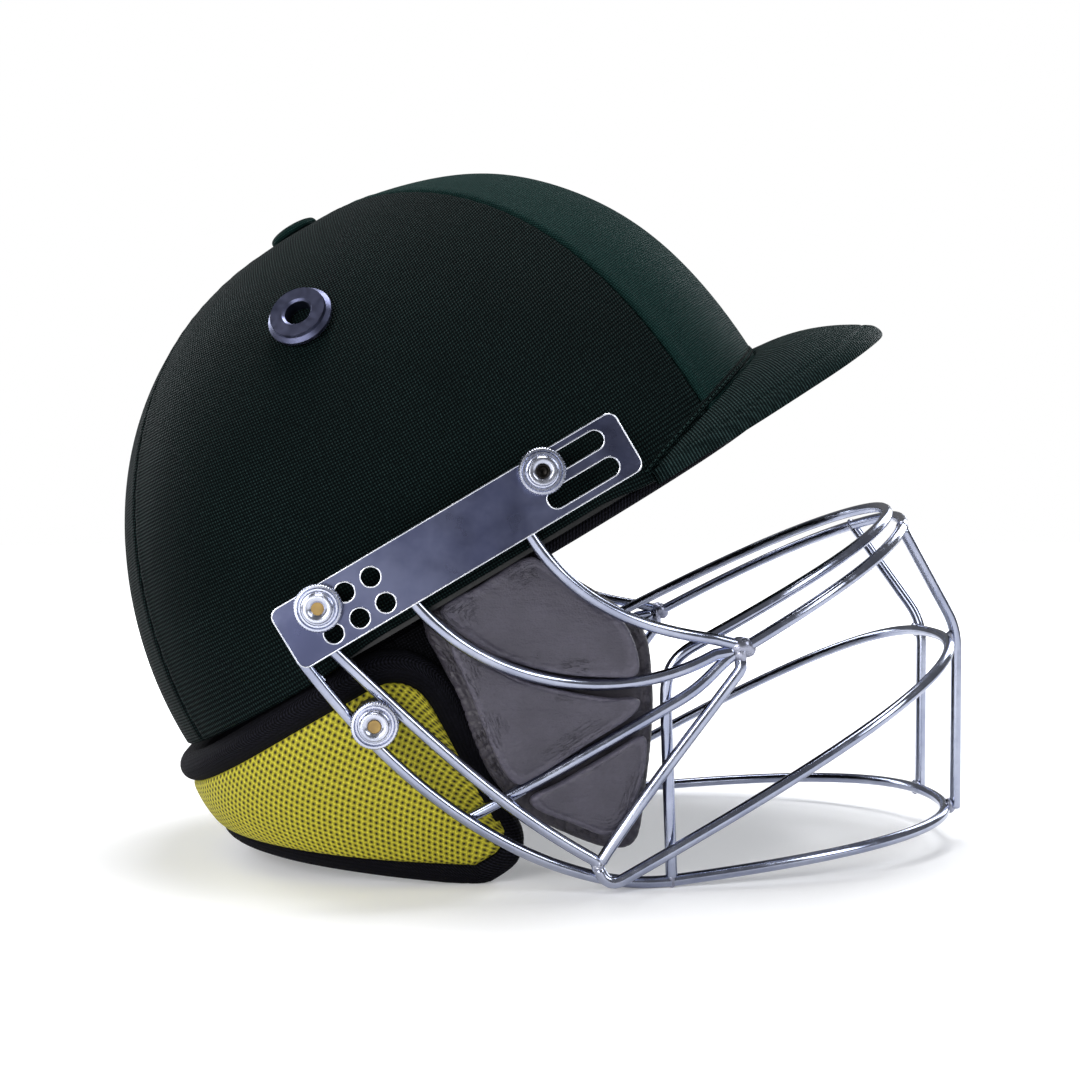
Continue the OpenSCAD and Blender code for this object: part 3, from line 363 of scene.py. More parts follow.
def make_piece(name, verts, faces, charts, finish, slot, body="helmet", stands_for=(), about=None,
               crisp=None):
    """Put arrays of points, faces and map places into a mesh whose faces point outwards."""
    about = verts.mean(0) if about is None else about
    if not outward(verts, faces, about):
        faces = [f[:, ::-1] for f in faces]
        charts = [c[:, ::-1] for c in charts]
    mesh = bpy.data.meshes.new(name)
    corners = np.concatenate([f.ravel() for f in faces]).astype(np.int32)
    sizes = np.concatenate([np.full(len(f), f.shape[1]) for f in faces])
    mesh.vertices.add(len(verts))
    mesh.vertices.foreach_set("co", verts.astype(np.float32).ravel())
    mesh.loops.add(len(corners))
    mesh.loops.foreach_set("vertex_index", corners)
    mesh.polygons.add(len(sizes))
    mesh.polygons.foreach_set("loop_start", np.concatenate([[0], np.cumsum(sizes)[:-1]]).astype(np.int32))
    mesh.polygons.foreach_set("use_smooth", np.ones(len(sizes), bool))
    mesh.update(calc_edges=True)
    layer = mesh.uv_layers.new(name="chart")
    places = np.concatenate([c.reshape(-1, 2) for c in charts])
    layer.data.foreach_set("uv", places.astype(np.float32).ravel())
    mesh.validate()
    if crisp is not None:
        mesh.set_sharp_from_angle(angle=math.radians(crisp))
    mesh.materials.append(finish.material)
    obj = bpy.data.objects.new(name, mesh)
    bpy.context.scene.collection.objects.link(obj)
    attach(obj, body)
    if stands_for:
        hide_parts(*stands_for)
    return obj


def run_length(p, axis, wrap):
    """Length along each grid line from its start, with one more place where the line closes."""
    q = np.concatenate([p, np.take(p, [0], axis)], axis) if wrap else p
    step = np.linalg.norm(np.diff(q, axis=axis), axis=-1)
    zero = np.zeros_like(np.take(step, [0], axis))
    return np.concatenate([zero, np.cumsum(step, axis)], axis)


def grid_parts(p, chart=None, wrap_u=False, wrap_v=False, caps=()):
    """Points, faces and map places of a grid of points, with fans over the named ends of a closed profile."""
    nu, nv = p.shape[:2]
    if chart is None:
        u = run_length(p, 0, wrap_u)
        v = run_length(p, 1, wrap_v)
        u = np.concatenate([u, u[:, :1]], 1) if wrap_v else u
        v = np.concatenate([v, v[:1]], 0) if wrap_u else v
        chart = np.stack([u, v], -1)
    rows, cols = np.arange(nu if wrap_u else nu - 1), np.arange(nv if wrap_v else nv - 1)
    i, j = np.meshgrid(rows, cols, indexing="ij")
    ci = np.stack([i, i + 1, i + 1, i], -1).reshape(-1, 4)
    cj = np.stack([j, j, j + 1, j + 1], -1).reshape(-1, 4)
    verts = p.reshape(-1, 3)
    faces = [ci % nu * nv + cj % nv]
    charts = [chart[ci, cj]]
    for end in caps:
        row = 0 if end == 0 else nu - 1
        ring = row * nv + np.arange(nv)
        fan = np.stack([ring, np.roll(ring, -1), np.full(nv, len(verts))], 1)
        flat = chart[row, :nv]
        put = np.stack([flat, np.roll(flat, -1, 0), np.broadcast_to(flat.mean(0), flat.shape)], 1)
        if end != 0:
            fan, put = fan[:, [1, 0, 2]], put[:, [1, 0, 2]]
        verts = np.vstack([verts, verts[ring].mean(0)])
        faces.append(fan)
        charts.append(put)
    return verts, faces, charts


def with_poles(parts, around, along):
    """A grid that closes round its first axis, with a fan over the ring at each end of its second axis."""
    verts, faces, charts = parts
    for col in (0, along - 1):
        ring = np.arange(around) * along + col
        fan = np.stack([np.roll(ring, -1), ring, np.full(around, len(verts))], 1)
        verts = np.vstack([verts, verts[ring].mean(0)])
        faces.append(fan if col == 0 else fan[:, [1, 0, 2]])
        charts.append(np.zeros((around, 3, 2)))
    return verts, faces, charts


def joined(parts):
    """Several parts as one set of points, faces and map places."""
    verts, faces, charts, start = [], [], [], 0
    for v, f, c in parts:
        if not outward(v, f, v.mean(0)):
            f, c = [a[:, ::-1] for a in f], [a[:, ::-1] for a in c]
        verts.append(v)
        faces += [a + start for a in f]
        charts += c
        start += len(v)
    return np.vstack(verts), faces, charts


def slab_parts(outer, inner):
    """A closed slab: down the outer grid and back up the inner one as one profile, with capped ends."""
    return grid_parts(np.concatenate([outer, inner[:, ::-1]], 1), wrap_v=True, caps=(0, 1))


def unit(v):
    return v / np.maximum(np.linalg.norm(v, axis=-1, keepdims=True), 1e-12)


def ease(t):
    t = np.clip(t, 0, 1)
    return t * t * (3 - 2 * t)


def spow(v, p):
    return np.sign(v) * np.abs(v) ** p


def bezier(p, n):
    """Cubic curve through p[0] and p[3], pulled by p[1] and p[2]."""
    p = np.array(p, float)
    t = np.linspace(0, 1, n)[:, None]
    s = 1 - t
    return s ** 3 * p[0] + 3 * s * s * t * p[1] + 3 * s * t * t * p[2] + t ** 3 * p[3]


def spline(points, steps, closed=False):
    """Smooth curve through points: on each span a cubic whose slopes are half the neighbours' difference."""
    p = np.array(points, float)
    q = np.vstack([p[-1:], p, p[:2]]) if closed else np.vstack([2 * p[0] - p[1], p, 2 * p[-1] - p[-2]])
    a, b, c, d = (q[k:len(q) - 3 + k, None] for k in range(4))
    t = (np.arange(steps) / steps)[None, :, None]
    out = 0.5 * (2 * b + (c - a) * t + (2 * a - 5 * b + 4 * c - d) * t * t + (3 * b - a - 3 * c + d) * t ** 3)
    out = out.reshape(-1, p.shape[1])
    return out if closed else np.vstack([out, p[-1:]])


def evenly(path, step, closed=False):
    """The same curve with its points an even distance apart."""
    p = np.array(path, float)
    if closed:
        p = np.vstack([p, p[:1]])
    run = np.concatenate([[0], np.cumsum(np.linalg.norm(np.diff(p, axis=0), axis=1))])
    keep = np.concatenate([[True], np.diff(run) > 1e-6])
    p, run = p[keep], run[keep]
    n = max(int(round(run[-1] / step)), 4)
    at = np.linspace(0, run[-1], n + 1)[:-1 if closed else None]
    return np.stack([np.interp(at, run, p[:, k]) for k in range(p.shape[1])], 1)


def ripple(x, y, seed, scale):
    """Gentle unevenness: a sum of six slanted sine waves with fixed random directions and phases."""
    rng = np.random.default_rng(seed)
    out = 0
    for k in range(6):
        turn, phase, size = rng.uniform(0, math.tau), rng.uniform(0, math.tau), rng.uniform(0.6, 1.5)
        out = out + np.sin((x * math.cos(turn) + y * math.sin(turn)) / scale * size + phase)
    return out / 6


def carried(path, closed=False):
    """Directions along a path, and two cross vectors carried along it without twist."""
    t = unit(np.roll(path, -1, 0) - np.roll(path, 1, 0)) if closed else unit(np.gradient(path, axis=0))
    v = np.zeros_like(t)
    side = np.array([0.0, 0.0, 1.0]) if abs(t[0][2]) < 0.7 else np.array([0.0, 1.0, 0.0])
    for k, way in enumerate(t):
        side = side - side.dot(way) * way
        side = side / np.linalg.norm(side)
        v[k] = side
    return t, v, np.cross(t, v)


def tube_parts(path, radius, sides=20, step=1.6, shape=None):
    """A round bar along a path. Near its ends the radius falls off, so that they are rounded."""
    p = evenly(path, step)
    a, b = unit(p[1] - p[0]), unit(p[-1] - p[-2])
    p = np.vstack([p[0], p[0] + 0.12 * radius * a, p[0] + 0.4 * radius * a, p[1:-1],
                   p[-1] - 0.4 * radius * b, p[-1] - 0.12 * radius * b, p[-1]])
    scale = np.ones(len(p))
    scale[[0, 1, 2, -3, -2, -1]] = [0.55, 0.83, 1, 1, 0.83, 0.55]
    _, v, w = carried(p)
    a = np.linspace(0, math.tau, sides, endpoint=False)
    r = radius * scale[:, None] * (1 if shape is None else shape(p, a))
    ring = np.cos(a)[None, :, None] * v[:, None] + np.sin(a)[None, :, None] * w[:, None]
    return grid_parts(p[:, None] + r[..., None] * ring, wrap_v=True, caps=(0, 1))


def lathe_grid(profile, turns, wave=None):
    """A profile of (radius, height) carried round the z axis; wave scales the radius by turn and place."""
    q = np.array(profile, float)
    a = np.linspace(0, math.tau, turns, endpoint=False)
    r = q[None, :, 0] * (np.ones((turns, 1)) if wave is None else wave(a[:, None], np.arange(len(q))[None]))
    p = np.stack([r * np.cos(a)[:, None], r * np.sin(a)[:, None], np.broadcast_to(q[:, 1], r.shape)], -1)
    return p


def leaned(parts):
    v, f, c = parts
    return stand(v), f, c


def mirrored(path):
    return np.asarray(path, float) * [1, -1, 1]


# THE SHELL'S CURVE
def dome_value(p, off=0.0):
    """Below one inside the shell's curve: a superellipse in side view, and another across the helmet."""
    u = (p[..., 0] - SHELL_X) / np.where(p[..., 0] > SHELL_X, SHELL_FRONT + off, SHELL_BACK + off)
    w = (p[..., 2] - RIM_Z) / (SHELL_HIGH + off)
    v = p[..., 1] / (SHELL_HALF + off)
    c = u / np.maximum(np.hypot(u, w), 1e-9)
    n = 2.27 + 0.21 * c
    m = 2.2 + 0.43 * c * c
    return (np.abs(u) ** n + np.abs(w) ** n) ** (m / n) + np.abs(v) ** m


def dome_from(start, way, off=0.0):
    """Where rays from a point meet the shell's curve, found by halving the reach forty times."""
    low = np.full(way.shape[:-1], 5.0)
    high = low + 260
    for _ in range(40):
        mid = (low + high) / 2
        inside = dome_value(start + way * mid[..., None], off) < 1
        low, high = np.where(inside, mid, low), np.where(inside, high, mid)
    return start + way * low[..., None]


def dome(way, off=0.0):
    """The shell's curve in a direction from its middle, with its half-axes grown by off."""
    q = np.maximum(np.hypot(way[..., 0], way[..., 2]), 1e-9)
    c = way[..., 0] / q
    n = 2.27 + 0.21 * c
    m = 2.2 + 0.43 * c * c
    side = (np.abs(way[..., 0]) ** n + np.abs(way[..., 2]) ** n) ** (m / n)
    r = (side + np.abs(way[..., 1]) ** m) ** (-1 / m)
    a = np.where(way[..., 0] > 0, SHELL_FRONT, SHELL_BACK) + off
    return np.stack([SHELL_X + a * way[..., 0] * r, (SHELL_HALF + off) * way[..., 1] * r,
                     RIM_Z + (SHELL_HIGH + off) * way[..., 2] * r], -1)


def aim(az, el):
    az, el = np.radians(az), np.radians(el)
    return np.stack(np.broadcast_arrays(np.cos(az) * np.cos(el), np.sin(az) * np.cos(el), np.sin(el)), -1)


def grid_normal(p, away):
    """Unit normals of a grid, pointing away from a point."""
    n = unit(np.cross(np.gradient(p, axis=0), np.gradient(p, axis=1)))
    return n * np.sign(np.sum(n * (p - away), -1, keepdims=True))


# CLOTH COVER
def gore(name, node, a0, a1, finish, seed):
    """A cover panel between two seams. Rows climb from a hem turned under the rim to the crown. The cloth
    rolls down into each seam by a bell curve of the distance to it, with puckers that fade away from it."""
    s = np.linspace(0, 1, 150)
    az = a0 + (a1 - a0) * (0.45 * s + 0.55 * (0.5 - 0.5 * np.cos(math.pi * s)))
    el = np.concatenate([np.linspace(0, 80, 92), np.linspace(80.6, 88.4, 14)])
    middle = np.array([SEAMS_X, 0, RIM_Z])
    p = dome_from(middle, aim(az[:, None], el[None]))
    hem_x, hem_y = p[:, :1, 0], np.abs(p[:, :1, 1])
    low = 2.6 * ease((hem_x + 95) / 30) * ease((38 - hem_x) / 22) * ease((hem_y - 60) / 25)
    p = p + (low * np.maximum(0, 1 - (p[..., 2] - RIM_Z) / 16))[..., None] * np.array([0, 0, 1.0])
    n = grid_normal(p, np.array([SHELL_X, 0, 30.0]))
    plan = np.hypot(p[..., 0] - SEAMS_X, p[..., 1])
    edge = np.minimum(np.abs(az - a0), np.abs(az - a1))[:, None] * np.pi / 180 * plan
    up = run_length(p, 1, False)
    across = run_length(p, 0, False)
    lift = -1.5 * np.exp(-(edge / 0.75) ** 2) + 0.28 * np.exp(-((edge - 2.8) / 1.8) ** 2)
    lift += 0.16 * np.sin(up / 1.15 + 2.5 * ripple(up, across, seed, 9)) * np.exp(-edge / 3.2)
    lift += 0.3 * ripple(across, up, seed + 1, 14) * ease(edge / 12)
    lift -= 0.25
    p = p + lift[..., None] * n
    rim = p[:, :1]
    inward = unit((np.array([SHELL_X, 0, 0]) - rim) * [1, 1, 0])
    turn = np.array([(6.2, -1.0), (3.4, -1.15), (1.5, -1.2), (0.75, -1.0), (0.3, -0.6), (0.08, -0.25)])
    hem = rim + turn[None, :, :1] * inward + turn[None, :, 1:] * np.array([0, 0, 1.0])
    p = np.concatenate([hem, p], 1)
    u = run_length(p, 0, False)
    u = u - u[len(u) // 2]
    v = np.broadcast_to(run_length(p, 1, False)[len(p) // 2], u.shape)
    parts = leaned(grid_parts(p, np.stack([u, v], -1)))
    obj = make_piece(name, *parts, finish, "cover_cloth", stands_for=(node,), about=stand([SHELL_X, 0, 20.0]))
    thick = obj.modifiers.new("cloth", "SOLIDIFY")
    thick.thickness = 0.0008
    thick.offset = -1
    width = float(run_length(p, 0, False)[-1].max()) / 1000
    length = float(run_length(p, 1, False)[:, -1].max()) / 1000


gore("front_gore", "cover_front", -45, 45, front_cloth, 3)
gore("back_gore", "cover_back", 154, 206, side_cloth, 5)
gore("right_gore", "cover_right", -154, -45, side_cloth, 7)
gore("left_gore", "cover_left", 45, 154, side_cloth, 9)


# PEAK
PEAK_EDGE_Z = 4.0
GROOVE_IN = 4.6


def seam_height(t):
    return RIM_Z + 0.8 + 16 * np.maximum(1 - np.abs(t) ** 2.2, 0) ** 0.9


def seam_turn(t):
    return 66 * spow(t, 0.9)


def seam_line(t, rise=0.0):
    el = np.degrees(np.arcsin((seam_height(t) + rise - RIM_Z) / SHELL_HIGH))
    return dome(aim(seam_turn(t), el))


def peak_edge(t):
    s = seam_line(np.array([1.0]))[0] + [0.2, 0.45, 0]
    reach = SHELL_X + SHELL_FRONT + 46 - s[0] - 4
    a = np.radians(90 * t)
    return np.stack([s[0] + 4 + reach * np.abs(np.cos(a)) ** 0.83, (s[1] + 1) * spow(np.sin(a), 0.83),
                     np.full_like(t, PEAK_EDGE_Z)], -1)


def peak():
    """The peak as one closed form: over the top from the seam, round the rolled edge and back underneath.
    Its half-thickness grows as a quarter circle from both ends, and dips in a sewn groove near the edge."""
    s = np.linspace(-1, 1, 241)
    t = 0.985 * np.sin(s * math.pi / 2) * 0.35 + 0.985 * s * 0.65
    inner = seam_line(t)
    outer = peak_edge(t)
    x = np.linspace(0, 1, 64)
    u = 1 - (1 - x) ** 1.7
    u = u[None, :]
    span = np.linalg.norm((outer - inner)[:, :2], axis=1)[:, None]
    from_edge = (1 - u) * span
    from_seam = u * span
    half = 2.5 * np.sqrt(1 - (1 - np.minimum(from_edge / 2.5, 1)) ** 2)
    half = np.minimum(half, 1.2 + 1.2 * np.sqrt(1 - (1 - np.minimum(from_seam / 1.6, 1)) ** 2))
    groove = np.exp(-((from_edge - GROOVE_IN) / 0.45) ** 2) * ease((span - 8) / 10)
    rise = inner[:, 2:] - PEAK_EDGE_Z
    mid = inner[:, None, :2] * (1 - u[..., None]) + outer[:, None, :2] * u[..., None]
    z = inner[:, 2:] - 2.2 - rise * u ** 2 + 2.2 * u
    wave = 0.18 * ripple(mid[..., 0], mid[..., 1], 21, 11)
    top = np.concatenate([mid, (z + half - 1.1 * groove + wave)[..., None]], -1)
    under = np.concatenate([mid, (z - half + 0.6 * groove + wave)[..., None]], -1)
    return top, under, from_edge


peak_top_points, peak_under_points, peak_margin = peak()


def make_peak():
    loop = np.concatenate([peak_top_points, peak_under_points[:, ::-1]], 1)
    chart = np.stack([loop[..., 0], loop[..., 1]], -1)
    chart = np.concatenate([chart, chart[:, :1]], 1)
    parts = leaned(grid_parts(loop, chart, wrap_v=True, caps=(0, 1)))
    obj = make_piece("peak", *parts, peak_cloth, "cover_cloth",
                     stands_for=("peak_top", "peak_under", "peak_board"))


make_peak()


def stitches(name, path, normal, pitch, length, radius):
    """Thread stitches: flattened beads of the same small form, an even distance apart along a path."""
    p = evenly(np.hstack([path, normal]), pitch / 4)
    way = unit(np.gradient(p[:, :3], axis=0))[::4]
    place, up = p[::4, :3], unit(p[::4, 3:])
    side = unit(np.cross(up, way))
    ring = np.linspace(0, math.tau, 6, endpoint=False)
    along = np.array([-1.0, -0.7, 0.0, 0.7, 1.0])
    size = np.array([0.25, 0.8, 1.0, 0.8, 0.25])
    bead = (place[:, None, None] + along[None, :, None, None] * length / 2 * way[:, None, None]
            + size[None, :, None, None] * radius * (np.cos(ring)[None, None, :, None] * side[:, None, None]
                                                    + np.sin(ring)[None, None, :, None] * up[:, None, None]))
    one = grid_parts(bead[0], wrap_v=True, caps=(0, 1))
    ends = [bead[:, k].mean(1)[:, None] for k in (0, -1)]
    verts = np.concatenate([bead.reshape(len(bead), -1, 3), *ends], 1)
    n = verts.shape[1]
    shift = np.arange(len(bead))[:, None, None] * n
    faces = [(f[None] + shift).reshape(-1, f.shape[1]) for f in one[1]]
    charts = [np.broadcast_to(c[None], (len(bead),) + c.shape).reshape(-1, *c.shape[1:]) for c in one[2]]
    flat = verts.reshape(-1, 3)
    if not outward(one[0], one[1], one[0].mean(0)):
        faces, charts = [f[:, ::-1] for f in faces], [c[:, ::-1] for c in charts]
    make_piece(name, *leaned((flat, faces, charts)), thread, "cover_cloth", about=stand(flat.mean(0)))


def seam_tape():
    """The folded tape along the peak's seam: a low crowned band that follows the shell's curve."""
    t = np.linspace(-0.99, 0.99, 300)
    w = np.linspace(-1.3, 1.3, 11)
    base = seam_line(t[:, None] + 0 * w, 1.9 + w[None])
    n = grid_normal(base, np.array([SHELL_X, 0, 30.0]))
    crown = 0.7 * (1 - np.abs(w / 1.3) ** 4) - 0.45 - 0.25 * np.exp(-(w / 0.3) ** 2)
    pucker = 0.1 * np.sin(run_length(base, 0, False) / 0.4)
    p = base + (crown[None] + pucker)[..., None] * n
    inner = base - 1.0 * n
    make_piece("seam_tape", *leaned(slab_parts(p, inner)), side_cloth, "cover_cloth")
    mid = p[:, 5] + 0.22 * n[:, 5]
    stitches("seam_stitches", mid, n[:, 5], 2.3, 1.5, 0.24)


seam_tape()


def peak_stitches():
    """A row of stitches in the groove near the peak's rolled edge."""
    at = np.abs(peak_margin - GROOVE_IN).argmin(1)
    keep = peak_margin[:, 0] > 14
    line = peak_top_points[np.arange(len(at)), at] + [0, 0, 0.15]
    stitches("peak_edge_stitches", line[keep], np.tile([0.0, 0, 1.0], (keep.sum(), 1)), 2.4, 1.5, 0.22)


peak_stitches()


# CROWN BUTTON
def crown_button():
    """A covered button: a low dome with a tucked edge, and shallow gathers towards its rim."""
    prof = [(8.4, 0.3), (9.2, 0.7), (9.5, 1.5), (9.35, 2.3), (8.8, 3.0), (7.6, 3.55), (5.8, 3.95), (3.6, 4.2),
            (1.6, 4.3), (0.02, 4.32)]
    q = spline(prof, 4)
    q = np.vstack([[0.02, 0.3], q])
    p = lathe_grid(q, 72, lambda a, k: 1 + 0.008 * np.sin(12 * a) * (q[k, 0] / 9.5) ** 6)
    el = 88.3
    base = dome(aim(180, el))
    e = 0.5
    across = dome(aim(180 + e, el)) - dome(aim(180 - e, el))
    n = unit(np.cross(across, dome(aim(180, el + e)) - dome(aim(180, el - e))))
    n = n * np.sign(n[2])
    ax = unit(np.cross(np.array([0, 1.0, 0]), n))
    ay = np.cross(n, ax)
    p = base + p[..., :1] * ax + p[..., 1:2] * ay + p[..., 2:] * n
    make_piece("button", *leaned(grid_parts(p, wrap_u=True)), front_cloth, "cover_cloth",
               stands_for=("crown_button",))


crown_button()


# LINER AND PADS
def liner():
    """The foam liner: a closed bowl between two depths below the shell's curve, with a level rim."""
    az = np.linspace(0, 360, 120, endpoint=False)
    el = np.concatenate([np.linspace(0, 84, 44), [86.5, 88.5, 89.6]])
    way = aim(az[:, None], el[None])
    outer, inner = dome(way, FOAM_OFF), dome(way, FOAM_OFF - FOAM_T)
    inner[:, 0] += [0, 0, 0.9]
    loop = np.concatenate([outer[:, ::-1], inner], 1)
    parts = with_poles(grid_parts(loop, wrap_u=True), *loop.shape[:2])
    make_piece("liner", *leaned(parts), liner_foam, "liner_foam", stands_for=("foam_liner",))


liner()


def liner_pad(name, node, way, off):
    """A comfort pad on the liner: thick in its middle, with rounded edges, sewn down in a few channels."""
    nu, nv = way.shape[:2]
    i, j = np.linspace(0, 1, nu)[:, None], np.linspace(0, 1, nv)[None]
    full = np.sqrt(np.sin(math.pi * i) * np.sin(math.pi * j))
    thick = COMFORT_T * (0.3 + 0.7 * full) - 0.9 * np.exp(-(np.sin(3 * math.pi * i) / 0.22) ** 2) * full
    outer = dome(way, off)
    inner = outer + (dome(way, off - 1.0) - outer) * thick[..., None]
    parts = leaned(slab_parts(outer, inner))
    obj = make_piece(name, *parts, comfort_cloth, "comfort_cloth", stands_for=(node,))


def ring_pad(name, node, a0, a1, e0, e1):
    liner_pad(name, node, aim(np.linspace(a0, a1, 60)[:, None], np.linspace(e0, e1, 26)[None]), COMFORT_OFF)


ring_pad("brow_cushion", "brow_pad", -52, 52, 3, 26)
ring_pad("nape_cushion", "nape_pad", 142, 218, 3, 30)
ring_pad("temple_cushion_right", "temple_pad_right", -132, -64, 3, 30)
ring_pad("temple_cushion_left", "temple_pad_left", 64, 132, 3, 30)
crown_x, crown_y = np.linspace(-0.62, 0.62, 50)[:, None], np.linspace(-0.5, 0.5, 40)[None]
crown_way = unit(np.stack(np.broadcast_arrays(crown_x, crown_y, 1.0), -1))
liner_pad("crown_cushion", "crown_pad", crown_way, COMFORT_OFF + 0.45)


def brow_knit():
    """The knitted sweat band below the rim round the brow: a soft tube with ribs across it."""
    at = dome(aim(np.linspace(-88, 88, 120), 0.0), -8.5)
    at[:, 2] = RIM_Z - 2.1
    parts = leaned(tube_parts(at, 2.3, 16, 1.2))
    make_piece("sweat_band", *parts, black_knit, "knit", stands_for=("brow_band",))


brow_knit()


# WIRES
# Each ring's front reach, where its curve would end behind, its half width, its powers along and across,
# its drop below the shell's rim and its slope
FIRST_RING = (120.7, -90.6, 87.5, 4.58, 1.86, 56.8, -0.057)
SECOND_RING = (124.3, -63.4, 91, 4.26, 1.7, 63, -0.0325)
MIDDLE_RING = (114.2, -130, 90.5, 4.43, 2.43, 110.1, -0.035)
CHIN_RING = (82.4, -108.3, 84.4, 3.63, 2.24, 166, -0.468)
BAR_TOP_Y, BAR_LOW_Y = 32, 20.4


def ring_z(ring, x):
    return -ring[5] + ring[6] * (x - ring[0])


def ring_x(ring, y):
    """How far forward a ring reaches at a distance from its middle."""
    reach, tail, half, n, m = ring[:5]
    return tail + (reach - tail) * (1 - (y / half) ** m) ** (1 / n)


def ring_curve(ring, x_end):
    """Front of a ring: x and y lie on a superellipse, and z falls away from its front with a slope."""
    reach, tail, half, n, m = ring[:5]
    last = math.acos(((x_end - tail) / (reach - tail)) ** (n / 2))
    a = last * np.linspace(-1, 1, 321)
    x = tail + (reach - tail) * np.cos(a) ** (2 / n)
    return np.stack([x, half * spow(np.sin(a), 2 / m), ring_z(ring, x)], -1)


first_front = ring_curve(FIRST_RING, 22)
second_front = ring_curve(SECOND_RING, CHEEK_X)
middle_front = ring_curve(MIDDLE_RING, JAW[0] + JAW_BEND)
chin_front = ring_curve(CHIN_RING, -25)


def wire_half(z, low):
    return low + (WIRE_Y - low) * (z - JAW[2]) / (WIRE_TOP - JAW[2])


def both(tail, front):
    return np.vstack([mirrored(tail)[::-1], front, tail])


def first_wire():
    q, foot = first_front[-1], chin_front[-1]
    turn = np.array([4, DROP_Y, -62.0])
    bend = bezier([q, q + [-9, 0, 0.3], [9, DROP_Y, -53.5], turn], 24)
    return both(np.vstack([bend[1:], (turn + foot) / 2, foot + 0.6 * unit(turn - foot)]), first_front)


def second_wire():
    q = second_front[-1]
    bend = bezier([q, q + [-8, 0, 0.2], [20, CHEEK_Y, -63.6], [8, CHEEK_Y, -63.6]], 16)
    back = spline([bend[-1], [-16, CHEEK_Y, -63.2], [-40, CHEEK_Y - 0.4, -62.6], [-60, CHEEK_Y - 0.8, -61.6],
                   [-72, CHEEK_Y - 1.4, -61]], 6)
    return both(np.vstack([bend[1:], back[1:]]), second_front)


def middle_wire():
    q = middle_front[-1]
    a = np.linspace(0, math.pi / 2, 12)[1:]
    bend = np.stack([q[0] - JAW_BEND * np.sin(a), 0 * a + JAW[1], q[2] + JAW_BEND * (1 - np.cos(a))], -1)
    return both(np.vstack([bend, [JAW]]), middle_front)


def chin_wire():
    q = chin_front[-1]
    pull = [-50, q[2] - CHIN_RING[6] * (q[0] + 50)]
    c = bezier([[q[0], q[2]], pull, [-84, -64], [PLATE_REAR + 1, WIRE_TOP]], 70)[1:]
    k = 16 * np.linspace(0, 1, 70)[1:]
    low = q[1] + (LOOP_Y - q[1]) * ease(k / 5)
    y = low + (WIRE_Y - low) * np.maximum(0, (c[:, 1] - JAW[2]) / (WIRE_TOP - JAW[2]))
    return both(np.stack([c[:, 0], y, c[:, 1]], -1), chin_front)


def side_wire(curve, y):
    return np.stack([curve[:, 0], -y, curve[:, 1]], -1)


def inner_wire():
    start = [JAW[0] + 0.6, JAW[2] + TOUCH - 1.4]
    c = bezier([start, [-58, -68], [-66, -44], [PLATE_REAR + 10, WIRE_TOP]], 50)
    return np.vstack([mirrored(JAW) + [0.2, 0, 0.6], side_wire(c, wire_half(c[:, 1], JAW[1]))])


def rod_wire(p, y0, y1):
    c = bezier(p, 50)
    return side_wire(c, y1 + (y0 - y1) * ease((c[:, 1] - p[3][1]) / (min(p[0][1], 2) - p[3][1])))


JOINT = mirrored(second_front[-1])
JOINT_Z = ring_z(SECOND_RING, CHEEK_X)
upper_wire = rod_wire([[PLATE_REAR + 83, WIRE_TOP], [-9, -14], [6, -36], [CHEEK_X, JOINT_Z + TOUCH + 0.1]],
                      WIRE_Y, CHEEK_Y + 0.4)
upper_wire = np.vstack([upper_wire[:-3], JOINT + [2.0, 0, 1.2]])
pad_wire = rod_wire([[PLATE_REAR + 40, WIRE_TOP], [-47, -22], [-15, -55.5], [CHEEK_X - 7, JOINT_Z + 3.2]],
                    WIRE_Y, CHEEK_Y)
pad_wire = np.vstack([pad_wire, JOINT + [-1.0, 0, 0.8]])
lower_wire = rod_wire([[CHEEK_X - 2, JOINT_Z - TOUCH - 1.2], [14, -72.4], [-14, -82.4],
                       [JAW[0] + TOUCH + 0.4, JAW[2] + 2.6]], CHEEK_Y, JAW[1])
lower_wire = np.vstack([JOINT + [0.4, 0, -0.8], lower_wire, mirrored(JAW) + [1.6, 0, 1.0]])


def bar_wire():
    """A front bar: from the second ring down before the middle ring, bent there, and in to the chin ring."""
    x2 = ring_x(SECOND_RING, BAR_TOP_Y)
    x3 = ring_x(MIDDLE_RING, BAR_LOW_Y) + TOUCH
    x4 = ring_x(CHIN_RING, BAR_LOW_Y)
    z4 = ring_z(CHIN_RING, x4)
    down = unit(np.array([x4 + 3.7 - x3, 0, z4 - 2.2 + MIDDLE_RING[5]]))
    low = np.array([x4, BAR_LOW_Y, z4]) + TOUCH * np.array([-down[2], 0, down[0]]) + 1.2 * down
    top = np.array([x2, BAR_TOP_Y, ring_z(SECOND_RING, x2) - 0.6])
    bend = np.array([x3 + 1.4, BAR_LOW_Y, 1 - MIDDLE_RING[5]])
    up, on = unit(top - bend), unit(low - bend)
    return np.vstack([top, bezier([bend + 9 * up, bend + 2 * up, bend + 3 * on, bend + 10 * on], 16), low])


